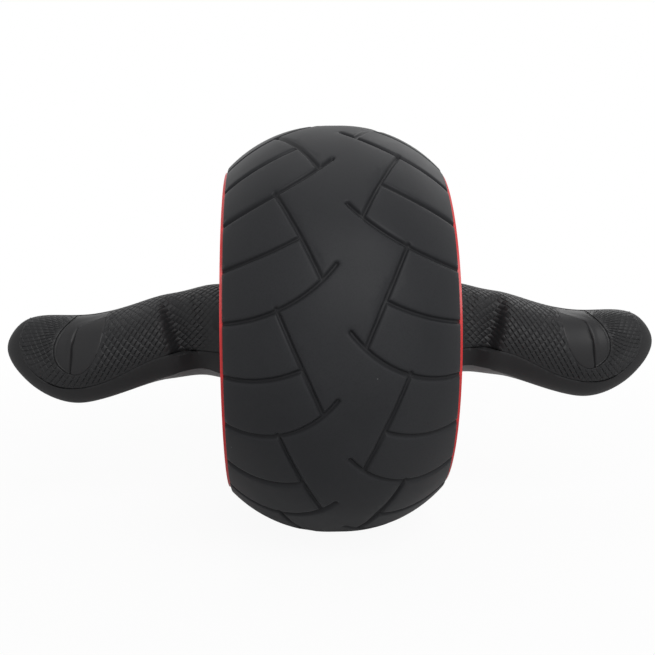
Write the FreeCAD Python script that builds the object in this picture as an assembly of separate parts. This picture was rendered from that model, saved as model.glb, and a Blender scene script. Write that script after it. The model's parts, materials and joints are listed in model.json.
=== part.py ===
import FreeCAD, Part

import math
import os

from FreeCAD import Vector

# Spring-return ab wheel roller: a wide crowned wheel that winds a flat spiral spring as it rolls out,
# between two drooping handles that are bolted to its axle. Millimetres and degrees. +X runs along the
# axle to the right, +Z is up and the palm side of the handles faces -Y. The origin is where the tyre
# touches the floor, under the middle of the wheel.

# Wheel and tyre
wheel_diameter = 185.0
wheel_width = 96.0
tread_flat_width = 6.0
crown_radius = 61.0
tyre_thickness = 8.0
tyre_edge_round = 1.2

# Tread: on either side, each pitch has a long curved groove, a short one and a slanting one
tread_pitches = 11
groove_width = 2.0
groove_depth = 1.4
long_groove_radius = 55.8
long_groove_stop = 2.5
short_groove_radius = 66.8
short_groove_stop = 16.0
short_groove_pitch_share = 0.50
slant_outer_stop = 25.5
slant_inner_stop = 8.0
right_tread_phase = -4.6

# Wheel core, moulded in two halves
rim_flange_thickness = 1.2
rim_flange_setback = 2.2
rim_dish = 1.3
rim_wall = 2.5
core_wall = 3.0
web_thickness = 3.0
cover_recess_depth = 5.3
hub_wall = 5.5
drum_wall = 2.5
core_rib_count = 8
core_rib_thickness = 2.5
core_boss_count = 6
core_boss_radius = 4.6

# Screws that close the core from the left
core_screw_radius = 2.0
core_screw_head_radius = 3.4
core_screw_head_height = 2.4
core_screw_bite = 16.0
hole_clearance = 0.05

# Side covers
cover_thickness = 2.2
cover_edge_clearance = 0.4
cover_collar_gap = 3.4
cover_collar_width = 3.0
cover_collar_height = 2.0
cover_bead_width = 3.0
cover_bead_height = 0.8
cover_pocket_count = 6
cover_pocket_depth = 0.9
cover_pocket_margin = 3.6
cover_pocket_angle = 44.0
cover_screw_count = 3
cover_screw_radius = 1.5
cover_screw_head_radius = 2.8
cover_screw_head_height = 1.4
cover_screw_length = 9.0
cover_boss_radius = 4.0

# Axle and bearings
axle_diameter = 16.0
axle_grip_length = 40.0
running_clearance = 0.05
bush_wall = 3.5
bush_length = 14.0
bush_flange_width = 3.5
bush_flange_thickness = 2.0
washer_width = 5.5
washer_thickness = 1.2
end_float = 0.3
ring_width = 2.6
ring_thickness = 1.2
ring_groove_depth = 1.0
ring_gap = 5.0

# Spiral spring, its arbor and its anchor
arbor_diameter = 34.0
strip_thickness = 1.0
strip_width = 34.0
strip_clearance = 0.3
coil_gap = 3.0
coil_count = 6
hook_step_count = 2
tail_depth = 6.0
arbor_pin_diameter = 5.0
anchor_pin_diameter = 6.0
anchor_boss_wall = 2.5
anchor_seat_depth = 10.0
anchor_angle = 150.0
hook_angle = 235.0
guide_disc_thickness = 1.5
guide_disc_clearance = 0.5

# Handles
handle_length = 105.2
handle_end_gap = 1.5
paddle_height = 40.7
paddle_droop = 12.85
palm_depth = 39.0
handle_wall = 2.5
pad_thickness = 2.2
parting_gap = 0.3
neck_parting_tilt = 43.0
saddle_depth = 3.2
saddle_floor_radius = 34.0
saddle_floor_drop = 5.0
saddle_inner_radius = 30.0
saddle_outer_radius = 4.5
saddle_tilt = 17.5
saddle_yaw = 8.0
saddle_share = 0.222
hub_pocket_clearance = 1.4

# Handle fasteners
handle_bolt_radius = 3.0
handle_bolt_head_radius = 5.0
handle_bolt_head_height = 5.0
handle_bolt_seat = 11.5
handle_bolt_reach = 5.0
handle_bolt_share = 0.215
handle_screw_radius = 1.75
handle_screw_head_radius = 3.4
handle_screw_head_height = 2.2
handle_screw_inset = 1.2
handle_screw_bite = 8.0
handle_boss_radius = 4.6
handle_screw_shares = [0.50, 0.66, 0.83]

# How far a cutting shape runs past what it cuts
overrun = 5.0

# Handle sections from the wheel to the tip: place along the handle, drop of the middle as a share of the
# droop, half height as a share of half the paddle's height, and front and back depth as shares of half
# the palm's depth
handle_section_shares = [
    (0.000, 0.00, 1.057, 1.03, 1.03),
    (0.114, 0.00, 1.035, 1.03, 1.02),
    (0.228, 0.11, 0.970, 1.03, 0.99),
    (0.285, 0.185, 0.961, 1.075, 0.975),
    (0.342, 0.27, 0.958, 1.04, 0.96),
    (0.437, 0.51, 0.956, 1.01, 0.93),
    (0.532, 0.76, 0.968, 0.96, 0.89),
    (0.627, 0.945, 0.990, 0.90, 0.85),
    (0.722, 1.00, 1.000, 0.84, 0.80),
    (0.808, 0.90, 0.945, 0.77, 0.73),
    (0.874, 0.77, 0.837, 0.66, 0.63),
    (0.922, 0.67, 0.690, 0.54, 0.52),
    (0.960, 0.62, 0.500, 0.40, 0.39),
    (0.985, 0.60, 0.315, 0.26, 0.26),
    (1.000, 0.59, 0.130, 0.12, 0.12),
]
corner_weight_share = 0.80
first_hollow_section = 5
last_hollow_section = 11
last_pad_section = 12

# Parting of the two shells: place along the handle, and tilt as a share of the tilt at the neck
parting_shares = [(-0.10, 1.0), (0.25, 1.0), (0.342, 0.70), (0.437, 0.35), (0.62, 0.10), (1.10, 0.10)]

# Grip pad on the palm side: place along the handle, and height as a share of the section's half height.
# Its edge runs from the wheel below the palm and round the tip, and the pad is open over the top.
pad_edge_shares = [
    (0.03, -0.29), (0.20, -0.28), (0.30, -0.27), (0.40, -0.34), (0.50, -0.45), (0.60, -0.52), (0.69, -0.55),
    (0.77, -0.56), (0.84, -0.48), (0.893, -0.29), (0.920, 0.04), (0.930, 0.45), (0.915, 0.86), (0.885, 1.20),
]
pad_open_share = 1.4

# Thumb inlay in the same shares, from the inner side of its open top down, round and up again
inlay_edge_shares = [
    (0.557, 1.40), (0.560, 0.80), (0.573, 0.42), (0.608, 0.03), (0.680, -0.22), (0.752, -0.07), (0.777, 0.32),
    (0.750, 0.74), (0.700, 1.00), (0.640, 1.40),
]

# Wheel sizes that follow
wheel_radius = wheel_diameter / 2
half_width = wheel_width / 2
tyre_half_width = half_width - rim_flange_thickness
half_flat = tread_flat_width / 2
pitch_angle = 360 / tread_pitches
axle_radius = axle_diameter / 2
bush_radius = axle_radius + bush_wall
bush_flange_radius = bush_radius + bush_flange_width
hub_radius = bush_radius + hub_wall
arbor_radius = arbor_diameter / 2
anchor_pin_radius = anchor_pin_diameter / 2
arbor_pin_radius = arbor_pin_diameter / 2

# Places along the axle
web_outer = half_width - cover_recess_depth
web_inner = web_outer - web_thickness
half_strip = strip_width / 2
disc_inner = half_strip + strip_clearance
disc_outer = disc_inner + guide_disc_thickness
flange_outer = web_outer + bush_flange_thickness
washer_inner = flange_outer + end_float
washer_outer = washer_inner + washer_thickness
ring_inner = washer_outer + end_float
ring_outer = ring_inner + ring_thickness
handle_inner = web_outer + handle_end_gap
hub_pocket_end = ring_outer + hub_pocket_clearance
axle_end = handle_inner + axle_grip_length
bolt_place = handle_inner + handle_bolt_share * handle_length

# The spiral is made of half turns, each wider than the one before, and the last two make room for the hook
first_coil_radius = arbor_radius + strip_clearance + strip_thickness / 2
coil_step = (strip_thickness + coil_gap) / 2
hook_radius = anchor_pin_radius + strip_clearance + strip_thickness / 2
hook_step = hook_radius + strip_thickness / 2 + strip_clearance
half_turns = 2 * coil_count
coil_step_count = half_turns - 1 - hook_step_count
spiral_end = first_coil_radius + (coil_step_count + 1) * coil_step + hook_step_count * hook_step
hook_height = spiral_end - hook_radius
drum_inner = spiral_end + strip_thickness / 2 + strip_clearance
drum_outer = drum_inner + drum_wall
core_screw_circle = drum_outer + core_boss_radius - drum_wall / 2


def crown_drop(x, arc_radius):
    """How far a crowned profile has fallen at x from the middle plane."""
    return arc_radius - math.sqrt(arc_radius**2 - (x - half_flat) ** 2)


# Radii at the wheel's edge
tyre_edge_radius = wheel_radius - crown_drop(tyre_half_width, crown_radius)
core_radius = wheel_radius - tyre_thickness
core_crown = crown_radius - tyre_thickness
core_edge_radius = core_radius - crown_drop(tyre_half_width, core_crown)
recess_radius = core_edge_radius - rim_wall
flange_radius = tyre_edge_radius - rim_flange_setback

# Cover sizes
neck_radius = paddle_height / 2 * handle_section_shares[0][2]
collar_inner = neck_radius + cover_collar_gap
collar_outer = collar_inner + cover_collar_width
cover_radius = recess_radius - cover_edge_clearance
bead_inner = cover_radius - cover_bead_width
cover_face = web_outer + cover_thickness
cover_screw_circle = (collar_outer + bead_inner) / 2
cover_head_seat = cover_face - cover_pocket_depth - cover_screw_head_height / 2
cover_screw_tip = cover_head_seat - cover_screw_length
half_rib_turn = 180 / core_rib_count


def line(a, b):
    return Part.LineSegment(a, b).toShape()


def arc(a, b, c):
    return Part.Arc(a, b, c).toShape()


def curve(points):
    """A smooth curve through points."""
    spline = Part.BSplineCurve()
    spline.interpolate(points)
    return spline.toShape()


def chain(points):
    return [line(a, b) for a, b in zip(points, points[1:])]


def loop(points):
    return chain(points + points[:1])


def outline(edges):
    return Part.Face(Part.Wire(Part.__sortEdges__(edges)))


def at(x, r):
    """A point of a profile that turns about the axle."""
    return Vector(x, 0, r)


def revolve(edges, angle=360):
    return outline(edges).revolve(Vector(0, 0, 0), Vector(1, 0, 0), angle)


def tube(inner, outer, start, end, angle=360):
    return revolve(loop([at(start, inner), at(start, outer), at(end, outer), at(end, inner)]), angle)


def rod(radius, start, end, height=0):
    """A cylinder along the axle's direction, at a height above the axle."""
    return Part.makeCylinder(radius, end - start, Vector(start, 0, height), Vector(1, 0, 0))


def cross_rod(radius, x, z, start, end):
    """A cylinder from front to back."""
    return Part.makeCylinder(radius, end - start, Vector(x, start, z), Vector(0, 1, 0))


def around(shape, angle):
    """A copy turned about the axle."""
    copy = shape.copy()
    copy.rotate(Vector(0, 0, 0), Vector(1, 0, 0), angle)
    return copy


def ring_of(shape, count, start=0):
    return [around(shape, start + 360 * i / count) for i in range(count)]


def mirrored(shape):
    return shape.mirror(Vector(0, 0, 0), Vector(1, 0, 0))


def crown_arc(x_from, x_to, top, arc_radius):
    """The arc of a crowned profile between two places on the right of the middle plane."""
    places = (x_from, (x_from + x_to) / 2, x_to)
    return arc(*[at(x, top - crown_drop(x, arc_radius)) for x in places])


def crowned(reach, top, arc_radius):
    """A crowned profile across the wheel, as an arc, a flat and an arc."""
    right = crown_arc(half_flat, reach, top, arc_radius)
    return [mirrored(right), line(at(-half_flat, top), at(half_flat, top)), right]


# Tyre
def plain_tyre():
    sides = [
        line(at(x, core_edge_radius), at(x, tyre_edge_radius)) for x in (-tyre_half_width, tyre_half_width)
    ]
    inside = crowned(tyre_half_width, core_radius, core_crown)
    outside = crowned(tyre_half_width, wheel_radius, crown_radius)
    ring = revolve(inside + sides + outside)
    rims = [
        edge
        for edge in ring.Edges
        if isinstance(edge.Curve, Part.Circle)
        and math.isclose(edge.Curve.Radius, tyre_edge_radius)
        and math.isclose(abs(edge.Curve.Center.x), tyre_half_width)
    ]
    return ring.makeFillet(tyre_edge_round, rims)


def tread_layer():
    """The ring that grooves may cut, from their floor to outside the tyre."""
    reach = tyre_half_width + overrun
    floor_top = wheel_radius - groove_depth
    floor_crown = crown_radius - groove_depth
    low = floor_top - crown_drop(reach, floor_crown)
    high = wheel_radius + overrun
    walls = chain([at(-reach, low), at(-reach, high), at(reach, high), at(reach, low)])
    return revolve(crowned(reach, floor_top, floor_crown) + walls)


def groove_tool(edges):
    """An outline on the unrolled tread, pushed out through the front of the tyre."""
    face = outline(edges)
    face.translate(Vector(0, -core_edge_radius, 0))
    return face.extrude(Vector(0, core_edge_radius - wheel_radius - overrun, 0))


def curved_groove(radius, stop):
    """A groove that leaves the tyre's edge square and curls up to a round end near the middle."""
    turn = math.asin((tyre_half_width - stop) / radius)
    half = groove_width / 2

    def along(share, offset):
        angle = turn * share
        reach = radius + offset
        return Vector(tyre_half_width - reach * math.sin(angle), 0, radius - reach * math.cos(angle))

    end = along(1, 0) + Vector(-math.cos(turn), 0, math.sin(turn)) * half
    lead = Vector(overrun, 0, 0)
    upper = [along(share, -half) for share in (0, 0.5, 1)]
    lower = [along(share, half) for share in (1, 0.5, 0)]
    edges = [arc(*upper), arc(upper[-1], end, lower[0]), arc(*lower)]
    return groove_tool(edges + chain([lower[-1], lower[-1] + lead, upper[0] + lead, upper[0]]))


def groove_rise(x):
    """How far the long groove has climbed at x from the middle plane, as an angle about the axle."""
    climb = long_groove_radius - math.sqrt(long_groove_radius**2 - (tyre_half_width - x) ** 2)
    return math.degrees(math.asin(climb / wheel_radius))


def slant_groove():
    """The straight groove that joins the long grooves of two neighbouring pitches."""
    upper = pitch_angle + groove_rise(slant_outer_stop)
    lower = groove_rise(slant_inner_stop)
    rise = wheel_radius * math.sin(math.radians(upper - lower) / 2)
    top = Vector(slant_outer_stop, 0, rise)
    bottom = Vector(slant_inner_stop, 0, -rise)
    side = (bottom - top).cross(Vector(0, 1, 0)).normalize() * (groove_width / 2)
    tool = groove_tool(loop([top + side, top - side, bottom - side, bottom + side]))
    return around(tool, -(upper + lower) / 2)


def tyre():
    layer = tread_layer()
    short_groove = curved_groove(short_groove_radius, short_groove_stop)
    tools = [
        curved_groove(long_groove_radius, long_groove_stop),
        around(short_groove, -pitch_angle * short_groove_pitch_share),
        slant_groove(),
    ]
    grooves = []
    for tool in tools:
        groove = around(tool.common(layer), -right_tread_phase)
        grooves += ring_of(groove, tread_pitches)
        grooves += ring_of(mirrored(groove), tread_pitches, pitch_angle / 2)
    return plain_tyre().cut(grooves)


# Wheel core
def core_shell():
    """The right half as turned: barrel, rim flange, cover recess, web, hub and spring drum."""
    inner_top = core_radius - core_wall
    inner_crown = core_crown - core_wall
    steps = chain([
        at(tyre_half_width, core_edge_radius),
        at(tyre_half_width, flange_radius),
        at(half_width, flange_radius),
        at(half_width - rim_dish, recess_radius),
        at(web_outer, recess_radius),
        at(web_outer, bush_radius),
        at(disc_outer, bush_radius),
        at(disc_outer, hub_radius),
        at(web_inner, hub_radius),
        at(web_inner, drum_inner),
        at(0, drum_inner),
        at(0, drum_outer),
        at(web_inner, drum_outer),
        at(web_inner, inner_top - crown_drop(web_inner, inner_crown)),
    ])
    outside = crown_arc(half_flat, tyre_half_width, core_radius, core_crown)
    inside = crown_arc(half_flat, web_inner, inner_top, inner_crown)
    middle = chain([
        at(half_flat, inner_top),
        at(0, inner_top),
        at(0, core_radius),
        at(half_flat, core_radius),
    ])
    return revolve(steps + middle + [outside, inside])


def core_room():
    """All the room inside the right half's barrel, which ribs and bosses stay in."""
    edge = at(web_outer, core_radius - crown_drop(web_outer, core_crown))
    axis = chain([edge, at(web_outer, 0), at(0, 0), at(0, core_radius), at(half_flat, core_radius)])
    return revolve(axis + [crown_arc(half_flat, web_outer, core_radius, core_crown)])


def core_half(is_left):
    """One half with its ribs, bosses and holes, as it is on the right. Only the left has screw heads."""
    foot = hub_radius - hub_wall / 2
    rib = Part.makeBox(
        web_outer - web_thickness / 2 - disc_outer,
        core_rib_thickness,
        drum_inner + drum_wall / 2 - foot,
        Vector(disc_outer, -core_rib_thickness / 2, foot),
    )
    bosses = ring_of(rod(core_boss_radius, 0, web_outer, core_screw_circle), core_boss_count)
    bosses += ring_of(
        rod(cover_boss_radius, cover_screw_tip - core_wall, web_outer, cover_screw_circle),
        cover_screw_count,
        half_rib_turn,
    )
    bosses.append(
        around(rod(anchor_pin_radius + anchor_boss_wall, disc_outer, web_outer, hook_height), anchor_angle)
    )
    room = core_room()
    body = core_shell().fuse([piece.common(room) for piece in ring_of(rib, core_rib_count) + bosses])
    bite = web_outer + overrun if is_left else core_screw_bite + hole_clearance
    screw_hole = rod(core_screw_radius + hole_clearance, -overrun, bite, core_screw_circle)
    holes = ring_of(screw_hole, core_boss_count)
    if is_left:
        seat = web_outer - core_screw_head_height
        head = rod(core_screw_head_radius + hole_clearance, seat, web_outer + overrun, core_screw_circle)
        holes += ring_of(head, core_boss_count)
    holes += ring_of(
        rod(cover_screw_radius + hole_clearance, cover_screw_tip, web_outer + overrun, cover_screw_circle),
        cover_screw_count,
        half_rib_turn,
    )
    pin_end = disc_outer + anchor_seat_depth
    holes.append(around(rod(anchor_pin_radius + hole_clearance, 0, pin_end, hook_height), anchor_angle))
    holes.append(rod(bush_radius, 0, web_outer + overrun))
    return body.cut(holes).removeSplitter()


def core_screws():
    seat = web_outer - core_screw_head_height
    shank = rod(core_screw_radius, -seat, core_screw_bite, core_screw_circle)
    head = rod(core_screw_head_radius, -web_outer, -seat, core_screw_circle)
    return Part.makeCompound(ring_of(shank.fuse(head).removeSplitter(), core_boss_count))


# Side covers
def side_cover():
    """The right cover: a disc with a collar round the handle's neck, an outer bead and shallow pockets."""
    disc = revolve(loop([
        at(web_outer, collar_inner),
        at(cover_face + cover_collar_height, collar_inner),
        at(cover_face + cover_collar_height, (collar_inner + collar_outer) / 2),
        at(cover_face, collar_outer),
        at(cover_face, bead_inner),
        at(cover_face + cover_bead_height, bead_inner + cover_bead_height),
        at(cover_face + cover_bead_height, cover_radius - cover_bead_height),
        at(cover_face, cover_radius),
        at(web_outer, cover_radius),
    ]))
    pocket = tube(
        collar_outer + cover_pocket_margin,
        bead_inner - cover_pocket_margin,
        cover_face - cover_pocket_depth,
        cover_face + overrun,
        cover_pocket_angle,
    )
    cuts = ring_of(pocket, cover_pocket_count, half_rib_turn - cover_pocket_angle / 2)
    shank = rod(cover_screw_radius + hole_clearance, web_inner, cover_face, cover_screw_circle)
    head = rod(
        cover_screw_head_radius + hole_clearance, cover_head_seat, cover_face + overrun, cover_screw_circle
    )
    cuts += ring_of(shank, cover_screw_count, half_rib_turn)
    cuts += ring_of(head, cover_screw_count, half_rib_turn)
    return disc.cut(cuts)


def cover_screws():
    shank = rod(cover_screw_radius, cover_screw_tip, cover_head_seat, cover_screw_circle)
    head_end = cover_head_seat + cover_screw_head_height
    head = rod(cover_screw_head_radius, cover_head_seat, head_end, cover_screw_circle)
    return Part.makeCompound(ring_of(shank.fuse(head).removeSplitter(), cover_screw_count, half_rib_turn))


# Axle and bearings
def axle():
    groove = tube(axle_radius - ring_groove_depth, axle_radius + overrun, ring_inner, ring_outer)
    bolt = cross_rod(
        handle_bolt_radius + hole_clearance, bolt_place, 0, -handle_bolt_reach - hole_clearance, axle_diameter
    )
    pin = cross_rod(arbor_pin_radius + hole_clearance, 0, 0, -axle_diameter, axle_diameter)
    cuts = [groove, mirrored(groove), bolt, mirrored(bolt), around(pin, anchor_angle)]
    return rod(axle_radius, -axle_end, axle_end).cut(cuts)


def bush():
    """The right bush: a sleeve pressed into the hub, with a flange against the web."""
    inner = axle_radius + running_clearance
    return revolve(loop([
        at(web_outer - bush_length, inner),
        at(web_outer - bush_length, bush_radius),
        at(web_outer, bush_radius),
        at(web_outer, bush_flange_radius),
        at(flange_outer, bush_flange_radius),
        at(flange_outer, inner),
    ]))


def thrust_washer():
    return tube(axle_radius + hole_clearance, axle_radius + washer_width, washer_inner, washer_outer)


def retaining_ring():
    """An open ring that snaps into the axle's groove."""
    ring = tube(axle_radius - ring_groove_depth, axle_radius + ring_width, ring_inner, ring_outer)
    gap = Part.makeBox(overrun, ring_gap, axle_diameter, Vector(ring_inner, -ring_gap / 2, 0))
    return ring.cut(gap)


# Spring
def spring_arbor():
    body = tube(axle_radius + hole_clearance, arbor_radius, -half_strip, half_strip)
    slot = Part.makeBox(
        strip_width,
        strip_thickness + 2 * strip_clearance,
        tail_depth + overrun,
        Vector(-half_strip, -strip_clearance, arbor_radius - tail_depth),
    )
    pin = cross_rod(arbor_pin_radius + hole_clearance, 0, 0, -arbor_diameter, arbor_diameter)
    return around(body.cut([slot, pin]), anchor_angle)


def arbor_pin():
    reach = arbor_radius - strip_clearance
    return around(cross_rod(arbor_pin_radius, 0, 0, -reach, reach), anchor_angle)


def strip_arc(height, radius, start, sweep):
    """One arc of the spring's strip about a centre above the axle, its angles from the top towards +Y."""

    def point(turn, offset):
        angle = math.radians(turn)
        reach = radius + offset
        return Vector(-half_strip, reach * math.sin(angle), height + reach * math.cos(angle))

    turns = [start, start + sweep / 2, start + sweep]
    outer = [point(turn, strip_thickness / 2) for turn in turns]
    inner = [point(turn, -strip_thickness / 2) for turn in turns]
    edges = [arc(*outer), arc(*inner), line(outer[0], inner[0]), line(outer[-1], inner[-1])]
    return outline(edges).extrude(Vector(strip_width, 0, 0))


def power_spring():
    """The strip in half turns from the arbor outwards, its tail in the slot and its hook round the pin."""
    tail_foot = arbor_radius - tail_depth + strip_clearance
    tail = Part.makeBox(
        strip_width, strip_thickness, first_coil_radius - tail_foot, Vector(-half_strip, 0, tail_foot)
    )
    turns = []
    height, radius = 0, first_coil_radius
    for i in range(half_turns):
        turns.append(strip_arc(height, radius, 180 * i, 180))
        step = coil_step if i < coil_step_count else hook_step
        height += -step if i % 2 else step
        radius += step
    hook = strip_arc(hook_height, hook_radius, 0, hook_angle)
    return around(tail.fuse(turns + [hook]).removeSplitter(), anchor_angle)


def anchor_pin():
    end = disc_outer + anchor_seat_depth
    return around(rod(anchor_pin_radius, -end, end, hook_height), anchor_angle)


def guide_disc():
    """The right slip disc between the spring and the core's ribs."""
    disc = tube(axle_radius + guide_disc_clearance, drum_inner - guide_disc_clearance, disc_inner, disc_outer)
    pin = rod(anchor_pin_radius + hole_clearance, 0, web_outer, hook_height)
    return disc.cut(around(pin, anchor_angle))


# Handles, built on the right
def section_at(share):
    """The section at a place along the handle: place, middle height, half height, front and back depth."""
    rows = handle_section_shares
    index = max(i for i, row in enumerate(rows[:-1]) if row[0] <= max(share, 0))
    before, after = rows[index], rows[index + 1]
    mix = (max(share, 0) - before[0]) / (after[0] - before[0])
    drop, height, front, back = [a + (b - a) * mix for a, b in zip(before[1:], after[1:])]
    half_height = paddle_height / 2
    half_depth = palm_depth / 2
    place = handle_inner + share * handle_length
    return place, -drop * paddle_droop, height * half_height, front * half_depth, back * half_depth


def palm_point(shares):
    """A point of an outline on the palm side, seen from the front."""
    share, height_share = shares
    place, middle, half_height, _, _ = section_at(share)
    return Vector(place, -palm_depth, middle + height_share * half_height)


def section_wire(share, inset):
    place, middle, half_height, front, back = section_at(share)
    top = Vector(place, 0, middle + half_height - inset)
    bottom = Vector(place, 0, middle - half_height + inset)
    edges = []
    for start, end, depth in ((top, bottom, inset - front), (bottom, top, back - inset)):
        side = Vector(place, depth, middle)
        for a, b in ((start, side), (side, end)):
            corner = Vector(place, depth, a.z if a.y == 0 else b.z)
            bend = Part.BezierCurve()
            bend.setPoles([a, corner, b])
            bend.setWeight(2, corner_weight_share)
            edges.append(bend.toShape())
    return Part.Wire(edges)


def handle_loft(inset, first, last):
    rows = handle_section_shares[first:last + 1]
    return Part.makeLoft([section_wire(row[0], inset) for row in rows], True)


def saddle(inset):
    """The finger valley across the palm side of the neck, gentle towards the wheel and steep beyond."""
    place, middle, _, front, _ = section_at(saddle_share)
    tilt = math.radians(saddle_tilt)
    yaw = math.radians(saddle_yaw)
    axis = Vector(math.cos(tilt) * math.cos(yaw), math.cos(tilt) * math.sin(yaw), -math.sin(tilt))
    out = axis * axis.y - Vector(0, 1, 0)
    out.normalize()
    deepest = Vector(place, saddle_depth - front, middle - saddle_floor_drop)
    centre = deepest - out * saddle_floor_radius
    floor = saddle_floor_radius - inset
    inner = saddle_inner_radius + inset
    outer = saddle_outer_radius + inset

    def point(along, reach):
        return centre + axis * along + out * reach

    def quarter(radius, side):
        places = [
            (side * radius * math.sin(turn), floor + radius * (1 - math.cos(turn)))
            for turn in (0, math.pi / 4, math.pi / 2)
        ]
        return arc(*[point(*place) for place in places])

    low, high = point(outer, floor + outer), point(outer, floor + inner)
    edges = [quarter(inner, -1), quarter(outer, 1)] + chain([low, high, point(-inner, floor + inner)])
    return outline(edges).revolve(centre, axis, 360)


def front_side(gap):
    """Everything on the palm side of the parting, which turns as it runs out along the handle."""
    reach = 2 * palm_depth
    wires = []
    for share, tilt_share in parting_shares:
        place, middle, _, _, _ = section_at(min(share, 1))
        tilt = math.radians(neck_parting_tilt * tilt_share)
        down = Vector(0, -math.sin(tilt), -math.cos(tilt)) * reach
        forward = Vector(0, -math.cos(tilt), math.sin(tilt))
        base = Vector(handle_inner + share * handle_length, 0, middle) + forward * gap
        ahead = forward * reach
        wires.append(Part.Wire(loop([base + down, base - down, base - down + ahead, base + down + ahead])))
    return Part.makeLoft(wires, True, True)


def palm_prism(edges):
    return outline(edges).extrude(Vector(0, 2 * palm_depth, 0))


def pad_prism():
    edge = [palm_point(shares) for shares in pad_edge_shares]
    over = [palm_point((pad_edge_shares[i][0], pad_open_share)) for i in (-1, 0)]
    return palm_prism([curve(edge)] + chain([edge[-1], *over, edge[0]]))


def inlay_prism():
    edge = [palm_point(shares) for shares in inlay_edge_shares]
    return palm_prism([curve(edge), line(edge[-1], edge[0])])


def screw_places():
    """(place, height, seat) of each screw that closes the handle from behind."""
    places = []
    for share in handle_screw_shares:
        place, middle, _, _, back = section_at(share)
        places.append((place, middle, back - handle_screw_inset - handle_screw_head_height))
    return places


def handle_pieces():
    """Front shell, rear shell, grip pad and thumb inlay of the right handle."""
    hollow = handle_loft(pad_thickness + handle_wall, first_hollow_section, last_hollow_section)
    bosses = [cross_rod(handle_boss_radius, x, z, -palm_depth, palm_depth) for x, z, _ in screw_places()]
    hollow = hollow.cut(bosses)
    bore = rod(axle_radius + hole_clearance, handle_inner - overrun, axle_end + hole_clearance)
    pocket_radius = bush_flange_radius + hub_pocket_clearance
    pocket = rod(pocket_radius, handle_inner - overrun, hub_pocket_end)
    last = len(handle_section_shares) - 1
    pad_area = pad_prism()
    solid = handle_loft(0, 0, last).cut([saddle(0), hollow, bore, pocket])
    front = solid.common(front_side(parting_gap / 2))
    rear = solid.cut(front_side(-parting_gap / 2))

    hole = handle_screw_radius + hole_clearance
    for x, z, seat in screw_places():
        front = front.cut(cross_rod(hole, x, z, -handle_screw_bite - hole_clearance, palm_depth))
        head = cross_rod(handle_screw_head_radius + hole_clearance, x, z, seat, palm_depth)
        rear = rear.cut([cross_rod(hole, x, z, -palm_depth, palm_depth), head])
    bolt_hole = cross_rod(handle_bolt_radius + hole_clearance, bolt_place, 0, 0, palm_depth)
    head_radius = handle_bolt_head_radius + hole_clearance
    bolt_head = cross_rod(head_radius, bolt_place, 0, handle_bolt_seat, palm_depth)
    rear = rear.cut([bolt_hole, bolt_head])

    under_pad = handle_loft(pad_thickness, 0, last_pad_section).cut(saddle(pad_thickness))
    skin = pad_area.cut(under_pad)
    pad = front.common(skin)
    front = front.cut(skin)
    plate = inlay_prism()
    return front, rear, pad.cut(plate), pad.common(plate)


def handle_bolt():
    shank = cross_rod(handle_bolt_radius, bolt_place, 0, -handle_bolt_reach, handle_bolt_seat)
    head_end = handle_bolt_seat + handle_bolt_head_height
    head = cross_rod(handle_bolt_head_radius, bolt_place, 0, handle_bolt_seat, head_end)
    return shank.fuse(head).removeSplitter()


def handle_screws():
    screws = []
    for x, z, seat in screw_places():
        shank = cross_rod(handle_screw_radius, x, z, -handle_screw_bite, seat)
        head = cross_rod(handle_screw_head_radius, x, z, seat, seat + handle_screw_head_height)
        screws.append(shank.fuse(head).removeSplitter())
    return Part.makeCompound(screws)


def main():
    nodes = {
        "tyre": tyre(),
        "core_left": mirrored(core_half(True)),
        "core_right": core_half(False),
        "core_screws": core_screws(),
        "anchor_pin": anchor_pin(),
        "axle": axle(),
        "spring_arbor": spring_arbor(),
        "arbor_pin": arbor_pin(),
        "power_spring": power_spring(),
    }
    front, rear, pad, inlay = handle_pieces()
    paired = {
        "side_cover": side_cover(),
        "cover_screws": cover_screws(),
        "bush": bush(),
        "guide_disc": guide_disc(),
        "thrust_washer": thrust_washer(),
        "retaining_ring": retaining_ring(),
        "handle_front": front,
        "handle_rear": rear,
        "grip_pad": pad,
        "thumb_inlay": inlay,
        "handle_bolt": handle_bolt(),
        "handle_screws": handle_screws(),
    }
    for name, shape in paired.items():
        nodes[name + "_right"] = shape
        nodes[name + "_left"] = mirrored(shape)
    os.makedirs("parts", exist_ok=True)
    for name, shape in nodes.items():
        shape.translate(Vector(0, 0, wheel_radius))
        shape.exportStep("parts/" + name + ".step")


main()
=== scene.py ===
import json
import logging
import math
from dataclasses import dataclass, field
from enum import Enum
from typing import Callable, Iterable, Sequence

import bmesh
import bpy
import numpy as np
from mathutils import Matrix, Vector, geometry
from mathutils.bvhtree import BVHTree
from mathutils.kdtree import KDTree


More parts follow.
